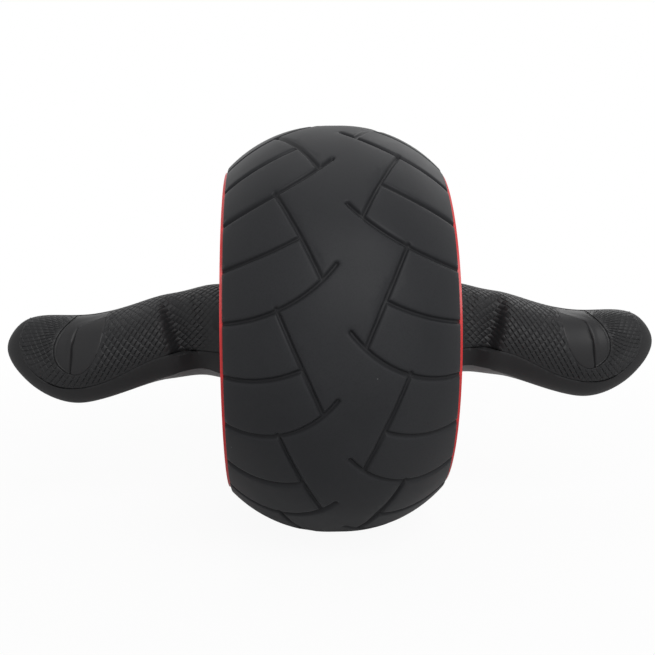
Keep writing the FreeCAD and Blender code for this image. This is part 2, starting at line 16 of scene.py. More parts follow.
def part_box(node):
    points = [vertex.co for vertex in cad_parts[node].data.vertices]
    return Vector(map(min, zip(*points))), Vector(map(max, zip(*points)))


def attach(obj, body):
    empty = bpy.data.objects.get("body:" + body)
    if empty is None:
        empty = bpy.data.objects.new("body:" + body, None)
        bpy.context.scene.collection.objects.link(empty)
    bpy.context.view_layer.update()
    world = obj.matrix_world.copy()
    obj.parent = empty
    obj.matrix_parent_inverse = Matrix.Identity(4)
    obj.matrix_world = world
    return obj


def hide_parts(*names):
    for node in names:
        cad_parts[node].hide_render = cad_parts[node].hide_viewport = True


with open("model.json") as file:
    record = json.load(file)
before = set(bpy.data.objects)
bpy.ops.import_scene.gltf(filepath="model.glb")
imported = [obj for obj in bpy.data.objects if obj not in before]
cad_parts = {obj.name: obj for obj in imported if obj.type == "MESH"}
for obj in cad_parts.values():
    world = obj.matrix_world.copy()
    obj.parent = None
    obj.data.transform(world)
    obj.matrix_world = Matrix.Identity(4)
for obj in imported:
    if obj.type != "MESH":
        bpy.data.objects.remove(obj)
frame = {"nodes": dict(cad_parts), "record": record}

LOG = logging.getLogger("ab_wheel_roller")
MM = 0.001
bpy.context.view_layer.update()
AXLE_HEIGHT = sum(corner.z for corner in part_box("axle")) / 2
NODE_MERGE = 0.001 * MM
WHITE = (1.0, 1.0, 1.0, 1.0)

Point = tuple[float, float]
Table = tuple[Point, ...]
Triple = tuple[float, float, float]
Colour = tuple[float, float, float]
Piece = bpy.types.Object
Tree = bpy.types.NodeTree
Node = bpy.types.Node
Socket = bpy.types.NodeSocket


class Body(Enum):
    """The two bodies that pieces ride on."""

    HANDLES = "handles"
    WHEEL = "wheel"


class Side(Enum):
    """The two ends of the axle, with the sign of X there."""

    LEFT = -1
    RIGHT = 1

    def node(self, stem: str) -> str:
        """Name of the CAD node on this side."""
        return f"{stem}_{self.name.lower()}"


class Drive(Enum):
    """What is sunk into a screw's head."""

    CROSS = "cross"
    HEX = "hex"


# Mesh helpers


def to_frame(points: np.ndarray) -> np.ndarray:
    """Millimetres about the axle's middle as metres in the frame, with the axle at its height."""
    return np.asarray(points, float) * MM + np.array([0.0, 0.0, AXLE_HEIGHT])


def mesh_object(name: str, points: np.ndarray, faces: Iterable[Sequence[int]]) -> Piece:
    """Makes a linked mesh object.

    Args:
        name: Name of the object and of its mesh.
        points: Rows of x, y, z in metres.
        faces: Corner indices of each face.

    Returns:
        The object, at the origin.
    """
    mesh = bpy.data.meshes.new(name)
    mesh.from_pydata([tuple(p) for p in points], [], [tuple(int(i) for i in f) for f in faces])
    mesh.update()
    made = bpy.data.objects.new(name, mesh)
    bpy.context.scene.collection.objects.link(made)
    return made


def close_up(made: Piece, merge: float) -> None:
    """Merges a mesh's doubles, drops faces without area and turns its faces outwards.

    Args:
        made: The object to clean.
        merge: Merging distance in metres.
    """
    shape = bmesh.new()
    shape.from_mesh(made.data)
    bmesh.ops.remove_doubles(shape, verts=shape.verts, dist=merge)
    bmesh.ops.dissolve_degenerate(shape, edges=shape.edges, dist=merge / 2)
    bmesh.ops.recalc_face_normals(shape, faces=shape.faces)
    shape.to_mesh(made.data)
    shape.free()
    made.data.update()


def shade(made: Piece, crease: float) -> None:
    """Shades a mesh smooth except along edges sharper than a crease angle in degrees."""
    made.data.shade_smooth()
    made.data.set_sharp_from_angle(angle=math.radians(crease))


def merged_node(node: str) -> bmesh.types.BMesh:
    """Copies a CAD node's loose triangles and merges their doubles.

    Args:
        node: Name of the node.

    Returns:
        The copy, in metres, which the caller frees.
    """
    shape = bmesh.new()
    shape.from_mesh(frame["nodes"][node].data)
    bmesh.ops.remove_doubles(shape, verts=shape.verts, dist=NODE_MERGE)
    return shape


def islands(node: str) -> list[tuple[Vector, Vector]]:
    """Finds the separate solids of a CAD node.

    Args:
        node: Name of the node.

    Returns:
        The lowest and highest corner of each solid, in a fixed order.
    """
    shape = merged_node(node)
    left, boxes = set(shape.verts), []
    while left:
        reached, edge = set(), [left.pop()]
        while edge:
            vert = edge.pop()
            reached.add(vert)
            near = {link.other_vert(vert) for link in vert.link_edges} & left
            left -= near
            edge.extend(near)
        spots = np.array([vert.co for vert in reached])
        boxes.append((Vector(spots.min(0)), Vector(spots.max(0))))
    shape.free()
    return sorted(boxes, key=lambda box: tuple(box[0]))


# Flat drawings


def grid_points(across: np.ndarray, along: np.ndarray) -> np.ndarray:
    """Points of a grid, with one row of them for each place across."""
    return np.stack(np.meshgrid(across, along, indexing="ij"), axis=-1)


def ticks_over(spots: np.ndarray, step: float, margin: float = 0.0) -> list[np.ndarray]:
    """Finds the places of a grid's rows and columns over flat points.

    Args:
        spots: The points to cover.
        step: Spacing of the grid.
        margin: How far it reaches past them.

    Returns:
        Places across and places along.
    """
    low, high = spots.min(axis=0) - margin, spots.max(axis=0) + margin
    return [np.arange(a, b, step) for a, b in zip(low, high)]


class Sheet:
    """Lines and dots drawn on a flattened surface, which become one mesh of triangles."""

    tolerance = 1e-5

    def __init__(self) -> None:
        """Starts with nothing drawn."""
        self.points: list[Point] = []
        self.edges: list[tuple[int, int]] = []

    def dots(self, points: Iterable[Point]) -> None:
        """Adds loose points."""
        self.points.extend((float(a), float(b)) for a, b in points)

    def line(self, points: Iterable[Point], closed: bool = False) -> None:
        """Adds a run of edges that the triangles keep.

        Args:
            points: The corners of the run.
            closed: Whether the last corner joins the first.
        """
        first = len(self.points)
        self.dots(points)
        last = len(self.points)
        self.edges.extend((i, i + 1) for i in range(first, last - 1))
        if closed:
            self.edges.append((last - 1, first))

    def triangles(self) -> tuple[np.ndarray, np.ndarray]:
        """Fills the drawing.

        Returns:
            The corner points and the triangles' corner indices.
        """
        spots = [Vector(p) for p in self.points]
        made = geometry.delaunay_2d_cdt(spots, self.edges, [], 0, self.tolerance, False)
        return np.array([tuple(v) for v in made[0]]), np.array(made[2], int)


def thinned(points: np.ndarray, tolerance: float) -> np.ndarray:
    """Drops the points of a run that a straight line through its neighbours replaces.

    Args:
        points: The run, one row for each point.
        tolerance: How far the thinner run may leave the old one.

    Returns:
        The points that are kept, with both ends.
    """
    keep = {0, len(points) - 1}
    spans = [(0, len(points) - 1)]
    while spans:
        a, b = spans.pop()
        if b - a < 2:
            continue
        chord = points[b] - points[a]
        size = math.hypot(*chord)
        away = points[a + 1:b] - points[a]
        if size > tolerance:
            off = np.abs(away[:, 0] * chord[1] - away[:, 1] * chord[0]) / size
        else:
            off = np.hypot(away[:, 0], away[:, 1])
        if off.max() > tolerance:
            middle = a + 1 + int(off.argmax())
            keep.add(middle)
            spans += [(a, middle), (middle, b)]
    return points[sorted(keep)]


def level_lines(
    values: np.ndarray, level: float, across: np.ndarray, along: np.ndarray
) -> list[np.ndarray]:
    """Follows the lines on which a field has one value.

    Args:
        values: The field on a grid, with one row for each place across.
        level: The value to follow.
        across: Places of the grid's rows.
        along: Places of the grid's columns.

    Returns:
        One array of points for each line.
    """
    above = values > level
    mixed = above[:-1, :-1].astype(int) + above[1:, :-1] + above[1:, 1:] + above[:-1, 1:]
    joins: dict[tuple, list[tuple]] = {}

    def crossing(i: int, j: int, k: int, m: int) -> tuple | None:
        """Name of a grid edge if the line crosses it."""
        return (i, j, k, m) if above[i, j] != above[k, m] else None

    for i, j in zip(*np.nonzero((mixed > 0) & (mixed < 4))):
        ends = [
            crossing(i, j, i + 1, j), crossing(i + 1, j, i + 1, j + 1),
            crossing(i, j + 1, i + 1, j + 1), crossing(i, j, i, j + 1),
        ]
        ends = [end for end in ends if end]
        for a, b in zip(ends[::2], ends[1::2]):
            joins.setdefault(a, []).append(b)
            joins.setdefault(b, []).append(a)

    def spot(key: tuple) -> Point:
        """Finds where the line crosses a grid edge.

        Args:
            key: Row and column of the edge's two ends.

        Returns:
            The crossing's places across and along.
        """
        i, j, k, m = key
        share = (level - values[i, j]) / (values[k, m] - values[i, j])
        return across[i] + share * (across[k] - across[i]), along[j] + share * (along[m] - along[j])

    lines = []
    starts = [key for key, near in joins.items() if len(near) == 1] + list(joins)
    for start in starts:
        if start not in joins:
            continue
        run, here = [start], start
        while True:
            near = [key for key in joins.pop(here, []) if key in joins]
            if not near:
                break
            here = near[0]
            run.append(here)
        lines.append(np.array([spot(key) for key in run]))
    return [line for line in lines if len(line) > 2]


def inside(points: np.ndarray, edge: np.ndarray) -> np.ndarray:
    """Tells which points lie inside a closed edge.

    Args:
        points: Points to test.
        edge: Corners of the closed edge.

    Returns:
        One truth value for each point.
    """
    x, y = points[:, :1], points[:, 1:]
    a, b = edge, np.roll(edge, -1, axis=0)
    crosses = (a[:, 1] > y) != (b[:, 1] > y)
    with np.errstate(divide="ignore", invalid="ignore"):
        where = a[:, 0] + (y - a[:, 1]) * (b[:, 0] - a[:, 0]) / (b[:, 1] - a[:, 1])
    return ((crosses & (x < where)).sum(axis=1) % 2).astype(bool)


def off_line(points: np.ndarray, a: np.ndarray, b: np.ndarray) -> np.ndarray:
    """Measures how far points lie from the straight line between two corners.

    Args:
        points: Points to measure from.
        a: First corner.
        b: Second corner.

    Returns:
        The distances to the nearest point between the corners.
    """
    span = b - a
    share = np.clip((points - a) @ span / max(span @ span, 1e-12), 0, 1)
    return np.hypot(*(points - a - share[:, None] * span).T)


def edge_distance(points: np.ndarray, edge: np.ndarray) -> np.ndarray:
    """Measures how far points lie from a closed edge.

    Args:
        points: Points to measure from.
        edge: Corners of the closed edge.

    Returns:
        The distances.
    """
    best = np.full(len(points), np.inf)
    for a, b in zip(edge, np.roll(edge, -1, axis=0)):
        best = np.minimum(best, off_line(points, a, b))
    return best


# Node helpers


def feed(tree: Tree, socket: Socket, value: object) -> None:
    """Links an input to another socket, or gives it a plain value.

    Args:
        tree: The tree that the input is in.
        socket: The input.
        value: A socket or a plain value.
    """
    if isinstance(value, Socket):
        tree.links.new(value, socket)
    else:
        socket.default_value = value


def add_node(tree: Tree, kind: str, links: dict | None = None, **settings: object) -> Node:
    """Adds a node to a tree.

    Args:
        tree: The tree.
        kind: The node's type.
        links: Socket or plain value for each input, by name or index.
        **settings: Properties of the node.

    Returns:
        The node.
    """
    node = tree.nodes.new(kind)
    for key, value in settings.items():
        setattr(node, key, value)
    for key, value in (links or {}).items():
        feed(tree, node.inputs[key], value)
    return node


def calculate(tree: Tree, way: str, a: object, b: object) -> Socket:
    """Result of a Math node with two sockets or plain values."""
    return add_node(tree, "ShaderNodeMath", {0: a, 1: b}, operation=way).outputs[0]


def map_range(tree: Tree, links: dict, way: str = "LINEAR") -> Socket:
    """Result of a Map Range node, with a socket or plain value for each input."""
    return add_node(tree, "ShaderNodeMapRange", links, interpolation_type=way).outputs["Result"]


def empty_tree(owner: bpy.types.Material | bpy.types.World) -> Tree:
    """Switches a material or a world to nodes and clears them.

    Args:
        owner: The material or the world.

    Returns:
        Its tree, with nothing in it.
    """
    owner.use_nodes = True
    owner.node_tree.nodes.clear()
    return owner.node_tree


class NodeGroup:
    """A node group under construction, with named sockets."""

    def __init__(self, name: str, kind: str, inputs: dict[str, str], outputs: dict[str, str]) -> None:
        """Makes the group.

        Args:
            name: Name of the group.
            kind: GeometryNodeTree or ShaderNodeTree.
            inputs: Socket type of each input by name, without its prefix.
            outputs: The same for each output.
        """
        self.tree = bpy.data.node_groups.new(name, kind)
        for sockets, way in ((inputs, "INPUT"), (outputs, "OUTPUT")):
            for socket, socket_type in sockets.items():
                self.tree.interface.new_socket(
                    socket, in_out=way, socket_type="NodeSocket" + socket_type
                )
        self.entry = self.tree.nodes.new("NodeGroupInput").outputs
        self.exit = self.tree.nodes.new("NodeGroupOutput").inputs

    def add(self, kind: str, links: dict | None = None, **settings: object) -> Node:
        """Adds a node to the group, in the way of add_node."""
        return add_node(self.tree, kind, links, **settings)

    def send(self, socket: Socket, name: str) -> None:
        """Links a socket to one of the group's outputs."""
        self.tree.links.new(socket, self.exit[name])

    def lift(self, shape: Socket, height: Socket) -> Socket:
        """Moves a shape up along Z."""
        offset = self.add("ShaderNodeCombineXYZ", {"Z": height}).outputs[0]
        return self.add("GeometryNodeTransform", {"Geometry": shape, "Translation": offset}).outputs[0]

    def copies(self, points: Socket, shape: Socket, rotation: Socket) -> Socket:
        """Puts a copy of a shape on each point and makes the copies real.

        Args:
            points: The points.
            shape: The shape about the origin.
            rotation: How each copy is turned.

        Returns:
            The copies as one mesh.
        """
        links = {"Points": points, "Instance": shape, "Rotation": rotation}
        placed = self.add("GeometryNodeInstanceOnPoints", links)
        return self.add("GeometryNodeRealizeInstances", {"Geometry": placed.outputs[0]}).outputs[0]

    def put_out(self, shape: Socket) -> None:
        """Gives a shape the tree's material and sends it to the output."""
        links = {"Geometry": shape, "Material": self.entry["Material"]}
        self.send(self.add("GeometryNodeSetMaterial", links).outputs[0], "Geometry")


def run_tree(made: Piece, group: NodeGroup, values: dict[str, object]) -> None:
    """Runs a geometry tree on an object and keeps the result as a plain mesh.

    Args:
        made: The object whose mesh the tree starts from.
        group: The geometry tree.
        values: Value of each of the tree's inputs by name.
    """
    modifier = made.modifiers.new(group.tree.name, "NODES")
    modifier.node_group = group.tree
    for item in group.tree.interface.items_tree:
        if item.item_type == "SOCKET" and item.in_out == "INPUT" and item.name in values:
            modifier[item.identifier] = values[item.name]
    graph = bpy.context.evaluated_depsgraph_get()
    mesh = bpy.data.meshes.new_from_object(
        made.evaluated_get(graph), preserve_all_data_layers=True, depsgraph=graph
    )
    made.modifiers.clear()
    old = made.data
    made.data = mesh
    bpy.data.meshes.remove(old)
    mesh.name = made.name


# Finishes


class Effects:
    """Shader effects that several finishes share, each one node group."""

    speck_limit = 0.86

    def __init__(self) -> None:
        """Builds the groups."""
        self.grain = self.make_grain()
        self.bloom = self.make_bloom()
        self.drawn = self.make_drawn()
        self.specks = self.make_specks()

    @staticmethod
    def noise(group: NodeGroup, place: Socket, detail: float, rough: float, warp: float = 0.0) -> Socket:
        """Adds noise at a group's own scale.

        Args:
            group: The group.
            place: Where the noise is read.
            detail: Number of finer layers.
            rough: How strong the finer layers are.
            warp: How much it is distorted.

        Returns:
            The noise's socket.
        """
        links = {"Vector": place, "Scale": group.entry["Scale"]}
        links |= {"Detail": detail, "Roughness": rough, "Distortion": warp}
        return group.add("ShaderNodeTexNoise", links).outputs["Fac"]

    def make_grain(self) -> Tree:
        """Makes fine moulded grain: rounded pits between small swellings.

        Returns:
            The group, with a height and a tone.
        """
        group = NodeGroup(
            "moulded_grain", "ShaderNodeTree",
            {"Place": "Vector", "Scale": "Float", "Pits": "Float"}, {"Height": "Float", "Tone": "Float"},
        )
        place, scale, pits = (group.entry[name] for name in ("Place", "Scale", "Pits"))
        noise = self.noise(group, place, detail=3.0, rough=0.6)
        cells = group.add("ShaderNodeTexVoronoi", {"Vector": place, "Scale": scale}, feature="SMOOTH_F1")
        links = {"Factor": pits, "A": noise, "B": cells.outputs["Distance"]}
        mixed = group.add("ShaderNodeMix", links, data_type="FLOAT")
        group.send(mixed.outputs["Result"], "Height")
        group.send(noise, "Tone")
        return group.tree

    def make_bloom(self) -> Tree:
        """Makes broad cloudy patches, as of handling, mould release and faint dust.

        Returns:
            The group, with a mask.
        """
        group = NodeGroup(
            "cloudy_bloom", "ShaderNodeTree",
            {"Place": "Vector", "Scale": "Float", "From": "Float", "To": "Float"}, {"Mask": "Float"},
        )
        noise = self.noise(group, group.entry["Place"], detail=5.0, rough=0.58, warp=0.4)
        links = {"Value": noise, "From Min": group.entry["From"], "From Max": group.entry["To"]}
        group.send(map_range(group.tree, links, "SMOOTHSTEP"), "Mask")
        return group.tree

    def make_drawn(self) -> Tree:
        """Makes fine drawn or turned lines: noise stretched along one direction.

        Returns:
            The group, with a mask.
        """
        group = NodeGroup(
            "drawn_lines", "ShaderNodeTree",
            {"Place": "Vector", "Stretch": "Vector", "Scale": "Float"}, {"Mask": "Float"},
        )
        links = {0: group.entry["Place"], 1: group.entry["Stretch"]}
        stretched = group.add("ShaderNodeVectorMath", links, operation="MULTIPLY")
        noise = self.noise(group, stretched.outputs["Vector"], detail=4.0, rough=0.7)
        group.send(noise, "Mask")
        return group.tree

    def make_specks(self) -> Tree:
        """Makes sparse small specks of lint and dust.

        Returns:
            The group, with a mask.
        """
        group = NodeGroup(
            "dust_specks", "ShaderNodeTree",
            {"Place": "Vector", "Scale": "Float", "Size": "Float"}, {"Mask": "Float"},
        )
        links = {"Vector": group.entry["Place"], "Scale": group.entry["Scale"]}
        cells = group.add("ShaderNodeTexVoronoi", links, feature="F1").outputs
        few = calculate(group.tree, "GREATER_THAN", cells["Color"], self.speck_limit)
        links = {"Value": cells["Distance"], "From Min": group.entry["Size"], "From Max": 0.0}
        near = map_range(group.tree, links)
        group.send(calculate(group.tree, "MULTIPLY", few, near), "Mask")
        return group.tree


@dataclass
class Canvas:
    """A material under construction, with what every finish needs to dress it."""

    tree: Tree
    surface: Node
    effects: Effects
    place: Socket

    def effect(self, group: Tree, links: dict) -> bpy.types.NodeOutputs:
        """Places a shared group at the material's coordinates and gives its outputs."""
        return add_node(self.tree, "ShaderNodeGroup", {"Place": self.place, **links}, node_tree=group).outputs

    def mix(self, share: object, first: object, second: object) -> Socket:
        """Mixes two colours.

        Args:
            share: Share of the second colour, a value or a socket.
            first: Colour or socket at share 0.
            second: Colour or socket at share 1.

        Returns:
            The mixed colour's socket.
        """
        node = add_node(self.tree, "ShaderNodeMix", data_type="RGBA")
        colours = [socket for socket in node.inputs if socket.type == "RGBA"]
        for socket, value in zip([node.inputs["Factor"], *colours], (share, first, second)):
            feed(self.tree, socket, value)
        return next(socket for socket in node.outputs if socket.type == "RGBA")

    def send(self, socket: Socket, name: str) -> None:
        """Links a socket to one of the surface's inputs."""
        self.tree.links.new(socket, self.surface.inputs[name])

    def bump(self, height: Socket, strength: float, depth: float) -> None:
        """Feeds a height to the surface's normal, with the bump's depth in metres."""
        links = {"Height": height, "Strength": strength, "Distance": depth}
        self.send(add_node(self.tree, "ShaderNodeBump", links).outputs["Normal"], "Normal")


@dataclass(frozen=True)
class Finish:
    """What every finish has: a name, two tones and a range of roughness."""

    name: str
    tone: Colour
    bloom_tone: Colour
    rough_low: float
    rough_high: float
    specular: float = 0.5
    bloom_scale: float = 22.0
    bloom_span: Point = (0.35, 0.7)

    def material(self, effects: Effects) -> bpy.types.Material:
        """Builds the material.

        Args:
            effects: The shared node groups.

        Returns:
            The material.
        """
        made = bpy.data.materials.new(self.name)
        made.diffuse_color = (*self.tone, 1.0)
        tree = empty_tree(made)
        surface = add_node(tree, "ShaderNodeBsdfPrincipled", {"Specular IOR Level": self.specular})
        add_node(tree, "ShaderNodeOutputMaterial", {"Surface": surface.outputs["BSDF"]})
        canvas = Canvas(tree, surface, effects, add_node(tree, "ShaderNodeTexCoord").outputs["Object"])
        start, end = self.bloom_span
        bloom = canvas.effect(effects.bloom, {"Scale": self.bloom_scale, "From": start, "To": end})["Mask"]
        tone = canvas.mix(bloom, (*self.tone, 1.0), (*self.bloom_tone, 1.0))
        rough = map_range(tree, {"Value": bloom, "To Min": self.rough_low, "To Max": self.rough_high})
        self.dress(canvas, tone, rough)
        return made

    def dress(self, canvas: Canvas, tone: Socket, rough: Socket) -> None:
        """Adds what one kind of finish has of its own.

        Args:
            canvas: The material under construction.
            tone: The bloomed base colour.
            rough: The bloomed roughness.
        """
        raise NotImplementedError


@dataclass(frozen=True)
class Moulded(Finish):
    """Moulded plastic or rubber with a fine grain."""

    grain_scale: float = 2200.0
    grain_pits: float = 0.5
    grain_strength: float = 0.25
    grain_depth: float = 0.00015
    coat: float = 0.0
    speckle_span: Point = (0.45, 0.75)
    speckle_share: float = 0.5
    speckle_tone: float = 0.78

    def dress(self, canvas: Canvas, tone: Socket, rough: Socket) -> None:
        """Adds grain to the normal and the colour.

        Args:
            canvas: The material under construction.
            tone: The bloomed base colour.
            rough: The bloomed roughness.
        """
        canvas.surface.inputs["Coat Weight"].default_value = self.coat
        grain = canvas.effect(canvas.effects.grain, {"Scale": self.grain_scale, "Pits": self.grain_pits})
        start, end = self.speckle_span
        links = {"Value": grain["Tone"], "From Min": start, "From Max": end, "To Max": self.speckle_share}
        deeper = (*(self.speckle_tone * part for part in self.tone), 1.0)
        coloured = canvas.mix(map_range(canvas.tree, links), tone, deeper)
        # the hook below adds dust and, on the tread, painted shade in the grooves
        canvas.send(self.painted_shade_and_dust(canvas, coloured), "Base Color")
        canvas.send(rough, "Roughness")
        canvas.bump(grain["Height"], self.grain_strength, self.grain_depth)

    def painted_shade_and_dust(self, canvas: Canvas, colour: Socket) -> Socket:
        """Colour after painted shade and dust, which plain moulded pieces don't have."""
        return colour


@dataclass(frozen=True)
class TreadRubber(Moulded):
    """Tyre rubber: painted shade darkens its colour in the grooves, with a little lint on the blocks."""

    # painted shade: this tone darkens the rubber's colour in the grooves, where shade falls
    groove_shade_tone: Colour = (0.009, 0.009, 0.010)
    groove_shade_start: float = 0.3
    groove_shade_share: float = 0.45
    lint_tone: Colour = (0.30, 0.30, 0.30)
    lint_share: float = 0.35
    lint_scale: float = 120.0
    lint_size: float = 0.045

    def painted_shade_and_dust(self, canvas: Canvas, colour: Socket) -> Socket:
        """Paints shade into the grooves' colour and strews lint.

        Args:
            canvas: The material under construction.
            colour: The colour so far.

        Returns:
            The colour after both.
        """
        # painted shade: the groove depth share mixes the painted groove shade into the colour
        groove = add_node(canvas.tree, "ShaderNodeAttribute", attribute_name="groove").outputs["Fac"]
        links = {"Value": groove, "From Min": self.groove_shade_start, "To Max": self.groove_shade_share}
        groove_shaded = canvas.mix(map_range(canvas.tree, links), colour, (*self.groove_shade_tone, 1.0))
        links = {"Scale": self.lint_scale, "Size": self.lint_size}
        lint = canvas.effect(canvas.effects.specks, links)["Mask"]
        faint = calculate(canvas.tree, "MULTIPLY", lint, self.lint_share)
        return canvas.mix(faint, groove_shaded, (*self.lint_tone, 1.0))


@dataclass(frozen=True)
class Metal(Finish):
    """Drawn, ground or plated steel."""

    stretch: Triple = (1.0, 40.0, 40.0)
    line_scale: float = 60.0
    line_strength: float = 0.12
    line_depth: float = 0.0001
    line_rough: float = 0.06

    def dress(self, canvas: Canvas, tone: Socket, rough: Socket) -> None:
        """Adds drawn lines to the normal and the roughness.

        Args:
            canvas: The material under construction.
            tone: The bloomed base colour.
            rough: The bloomed roughness.
        """
        canvas.surface.inputs["Metallic"].default_value = 1.0
        links = {"Stretch": self.stretch, "Scale": self.line_scale}
        lines = canvas.effect(canvas.effects.drawn, links)["Mask"]
        links = {"Value": lines, "To Min": -self.line_rough, "To Max": self.line_rough}
        canvas.send(tone, "Base Color")
        canvas.send(calculate(canvas.tree, "ADD", rough, map_range(canvas.tree, links)), "Roughness")
        canvas.bump(lines, self.line_strength, self.line_depth)


FINISHES: dict[str, Finish] = {
    "tyre_rubber": TreadRubber(
        "tread_rubber", (0.018, 0.0185, 0.0205), (0.023, 0.0235, 0.0255), 0.44, 0.56, 0.13, 16.0,
        grain_scale=1500.0, grain_pits=0.3, grain_strength=0.12,
    ),
    "core_red": Moulded(
        "red_core_plastic", (0.62, 0.018, 0.02), (0.67, 0.026, 0.028), 0.30, 0.44, 0.4,
        grain_strength=0.06, coat=0.1,
    ),
    "cover_black": Moulded(
        "cover_black_plastic", (0.014, 0.014, 0.015), (0.019, 0.019, 0.020), 0.42, 0.55, 0.2,
    ),
    "handle_black": Moulded(
        "handle_black_plastic", (0.016, 0.016, 0.017), (0.020, 0.020, 0.021), 0.58, 0.68, 0.2,
    ),
    "handle_grey": Moulded(
        "handle_grey_plastic", (0.12, 0.12, 0.122), (0.14, 0.14, 0.142), 0.42, 0.54, 0.25,
    ),
    "grip_rubber": Moulded(
        "grip_soft_rubber", (0.014, 0.0142, 0.0153), (0.018, 0.0182, 0.0193), 0.42, 0.54, 0.22,
        grain_scale=3000.0, grain_pits=0.2, grain_strength=0.10,
    ),
    "inlay_black": Moulded(
        "inlay_satin_plastic", (0.016, 0.016, 0.017), (0.020, 0.020, 0.021), 0.40, 0.48, 0.22,
        grain_strength=0.05,
    ),
    "axle_steel": Metal("ground_steel", (0.62, 0.62, 0.63), (0.52, 0.52, 0.54), 0.22, 0.38),
    "spring_steel": Metal("blued_spring_steel", (0.16, 0.18, 0.23), (0.24, 0.22, 0.24), 0.26, 0.42),
    "fastener_steel": Metal(
        "black_zinc_steel", (0.20, 0.20, 0.21), (0.28, 0.28, 0.28), 0.32, 0.48, stretch=(12.0, 12.0, 12.0),
    ),
    "bush_nylon": Moulded(
        "natural_nylon", (0.72, 0.70, 0.64), (0.64, 0.62, 0.55), 0.38, 0.5, 0.45, grain_strength=0.08,
    ),
    "arbor_nylon": Moulded("filled_nylon", (0.03, 0.03, 0.031), (0.045, 0.045, 0.046), 0.45, 0.6, 0.4),
}


class Workshop:
    """Holds the finished materials and hands pieces over to the frame."""

    def __init__(self) -> None:
        """Builds every material once."""
        effects = Effects()
        self.materials = {slot: finish.material(effects) for slot, finish in FINISHES.items()}

    def dress_nodes(self) -> None:
        """Gives each CAD node its slot's material."""
        for row in frame["record"]["subparts"]:
            mesh = frame["nodes"][row["node"]].data
            mesh.materials.clear()
            mesh.materials.append(self.materials[row["material_slot"]])
            LOG.info("CAD node %s dressed as %s", row["node"], row["material_slot"])

    def hand_over(self, made: Piece, body: Body, slot: str, *nodes: str) -> None:
        """Finishes a piece: gives it its slot's material, puts it on its body and hides the nodes that it
        stands for.

        Args:
            made: The piece.
            body: The body it rides on.
            slot: The record's material slot.
            *nodes: CAD nodes that it replaces.
        """
        made.data.materials.clear()
        made.data.materials.append(self.materials[slot])
        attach(made, body.value)
        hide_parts(*nodes)
        LOG.info("piece %s for %s: %d faces", made.name, ", ".join(nodes), len(made.data.polygons))

    def hand_over_both(self, made: Piece, stem: str, slot: str) -> None:
        """Hands over a right-hand piece of the handles and its mirror image.

        Args:
            made: The right-hand piece, whose name starts with its node's.
            stem: Stem of the two CAD nodes that they replace.
            slot: The record's material slot.
        """
        other = opposite(made, made.name.replace(Side.RIGHT.node(stem), Side.LEFT.node(stem)))
        for piece, side in ((made, Side.RIGHT), (other, Side.LEFT)):
            self.hand_over(piece, Body.HANDLES, slot, side.node(stem))


def opposite(made: Piece, name: str) -> Piece:
    """Makes the mirror image of a piece on the other side.

    Args:
        made: The right-hand piece.
        name: Name of the left-hand piece.

    Returns:
        The left-hand piece.
    """
    copy = bpy.data.objects.new(name, made.data.copy())
    copy.data.name = name
    copy.data.transform(Matrix.Diagonal((-1.0, 1.0, 1.0, 1.0)))
    copy.data.flip_normals()
    bpy.context.scene.collection.objects.link(copy)
    return copy


# Tyre


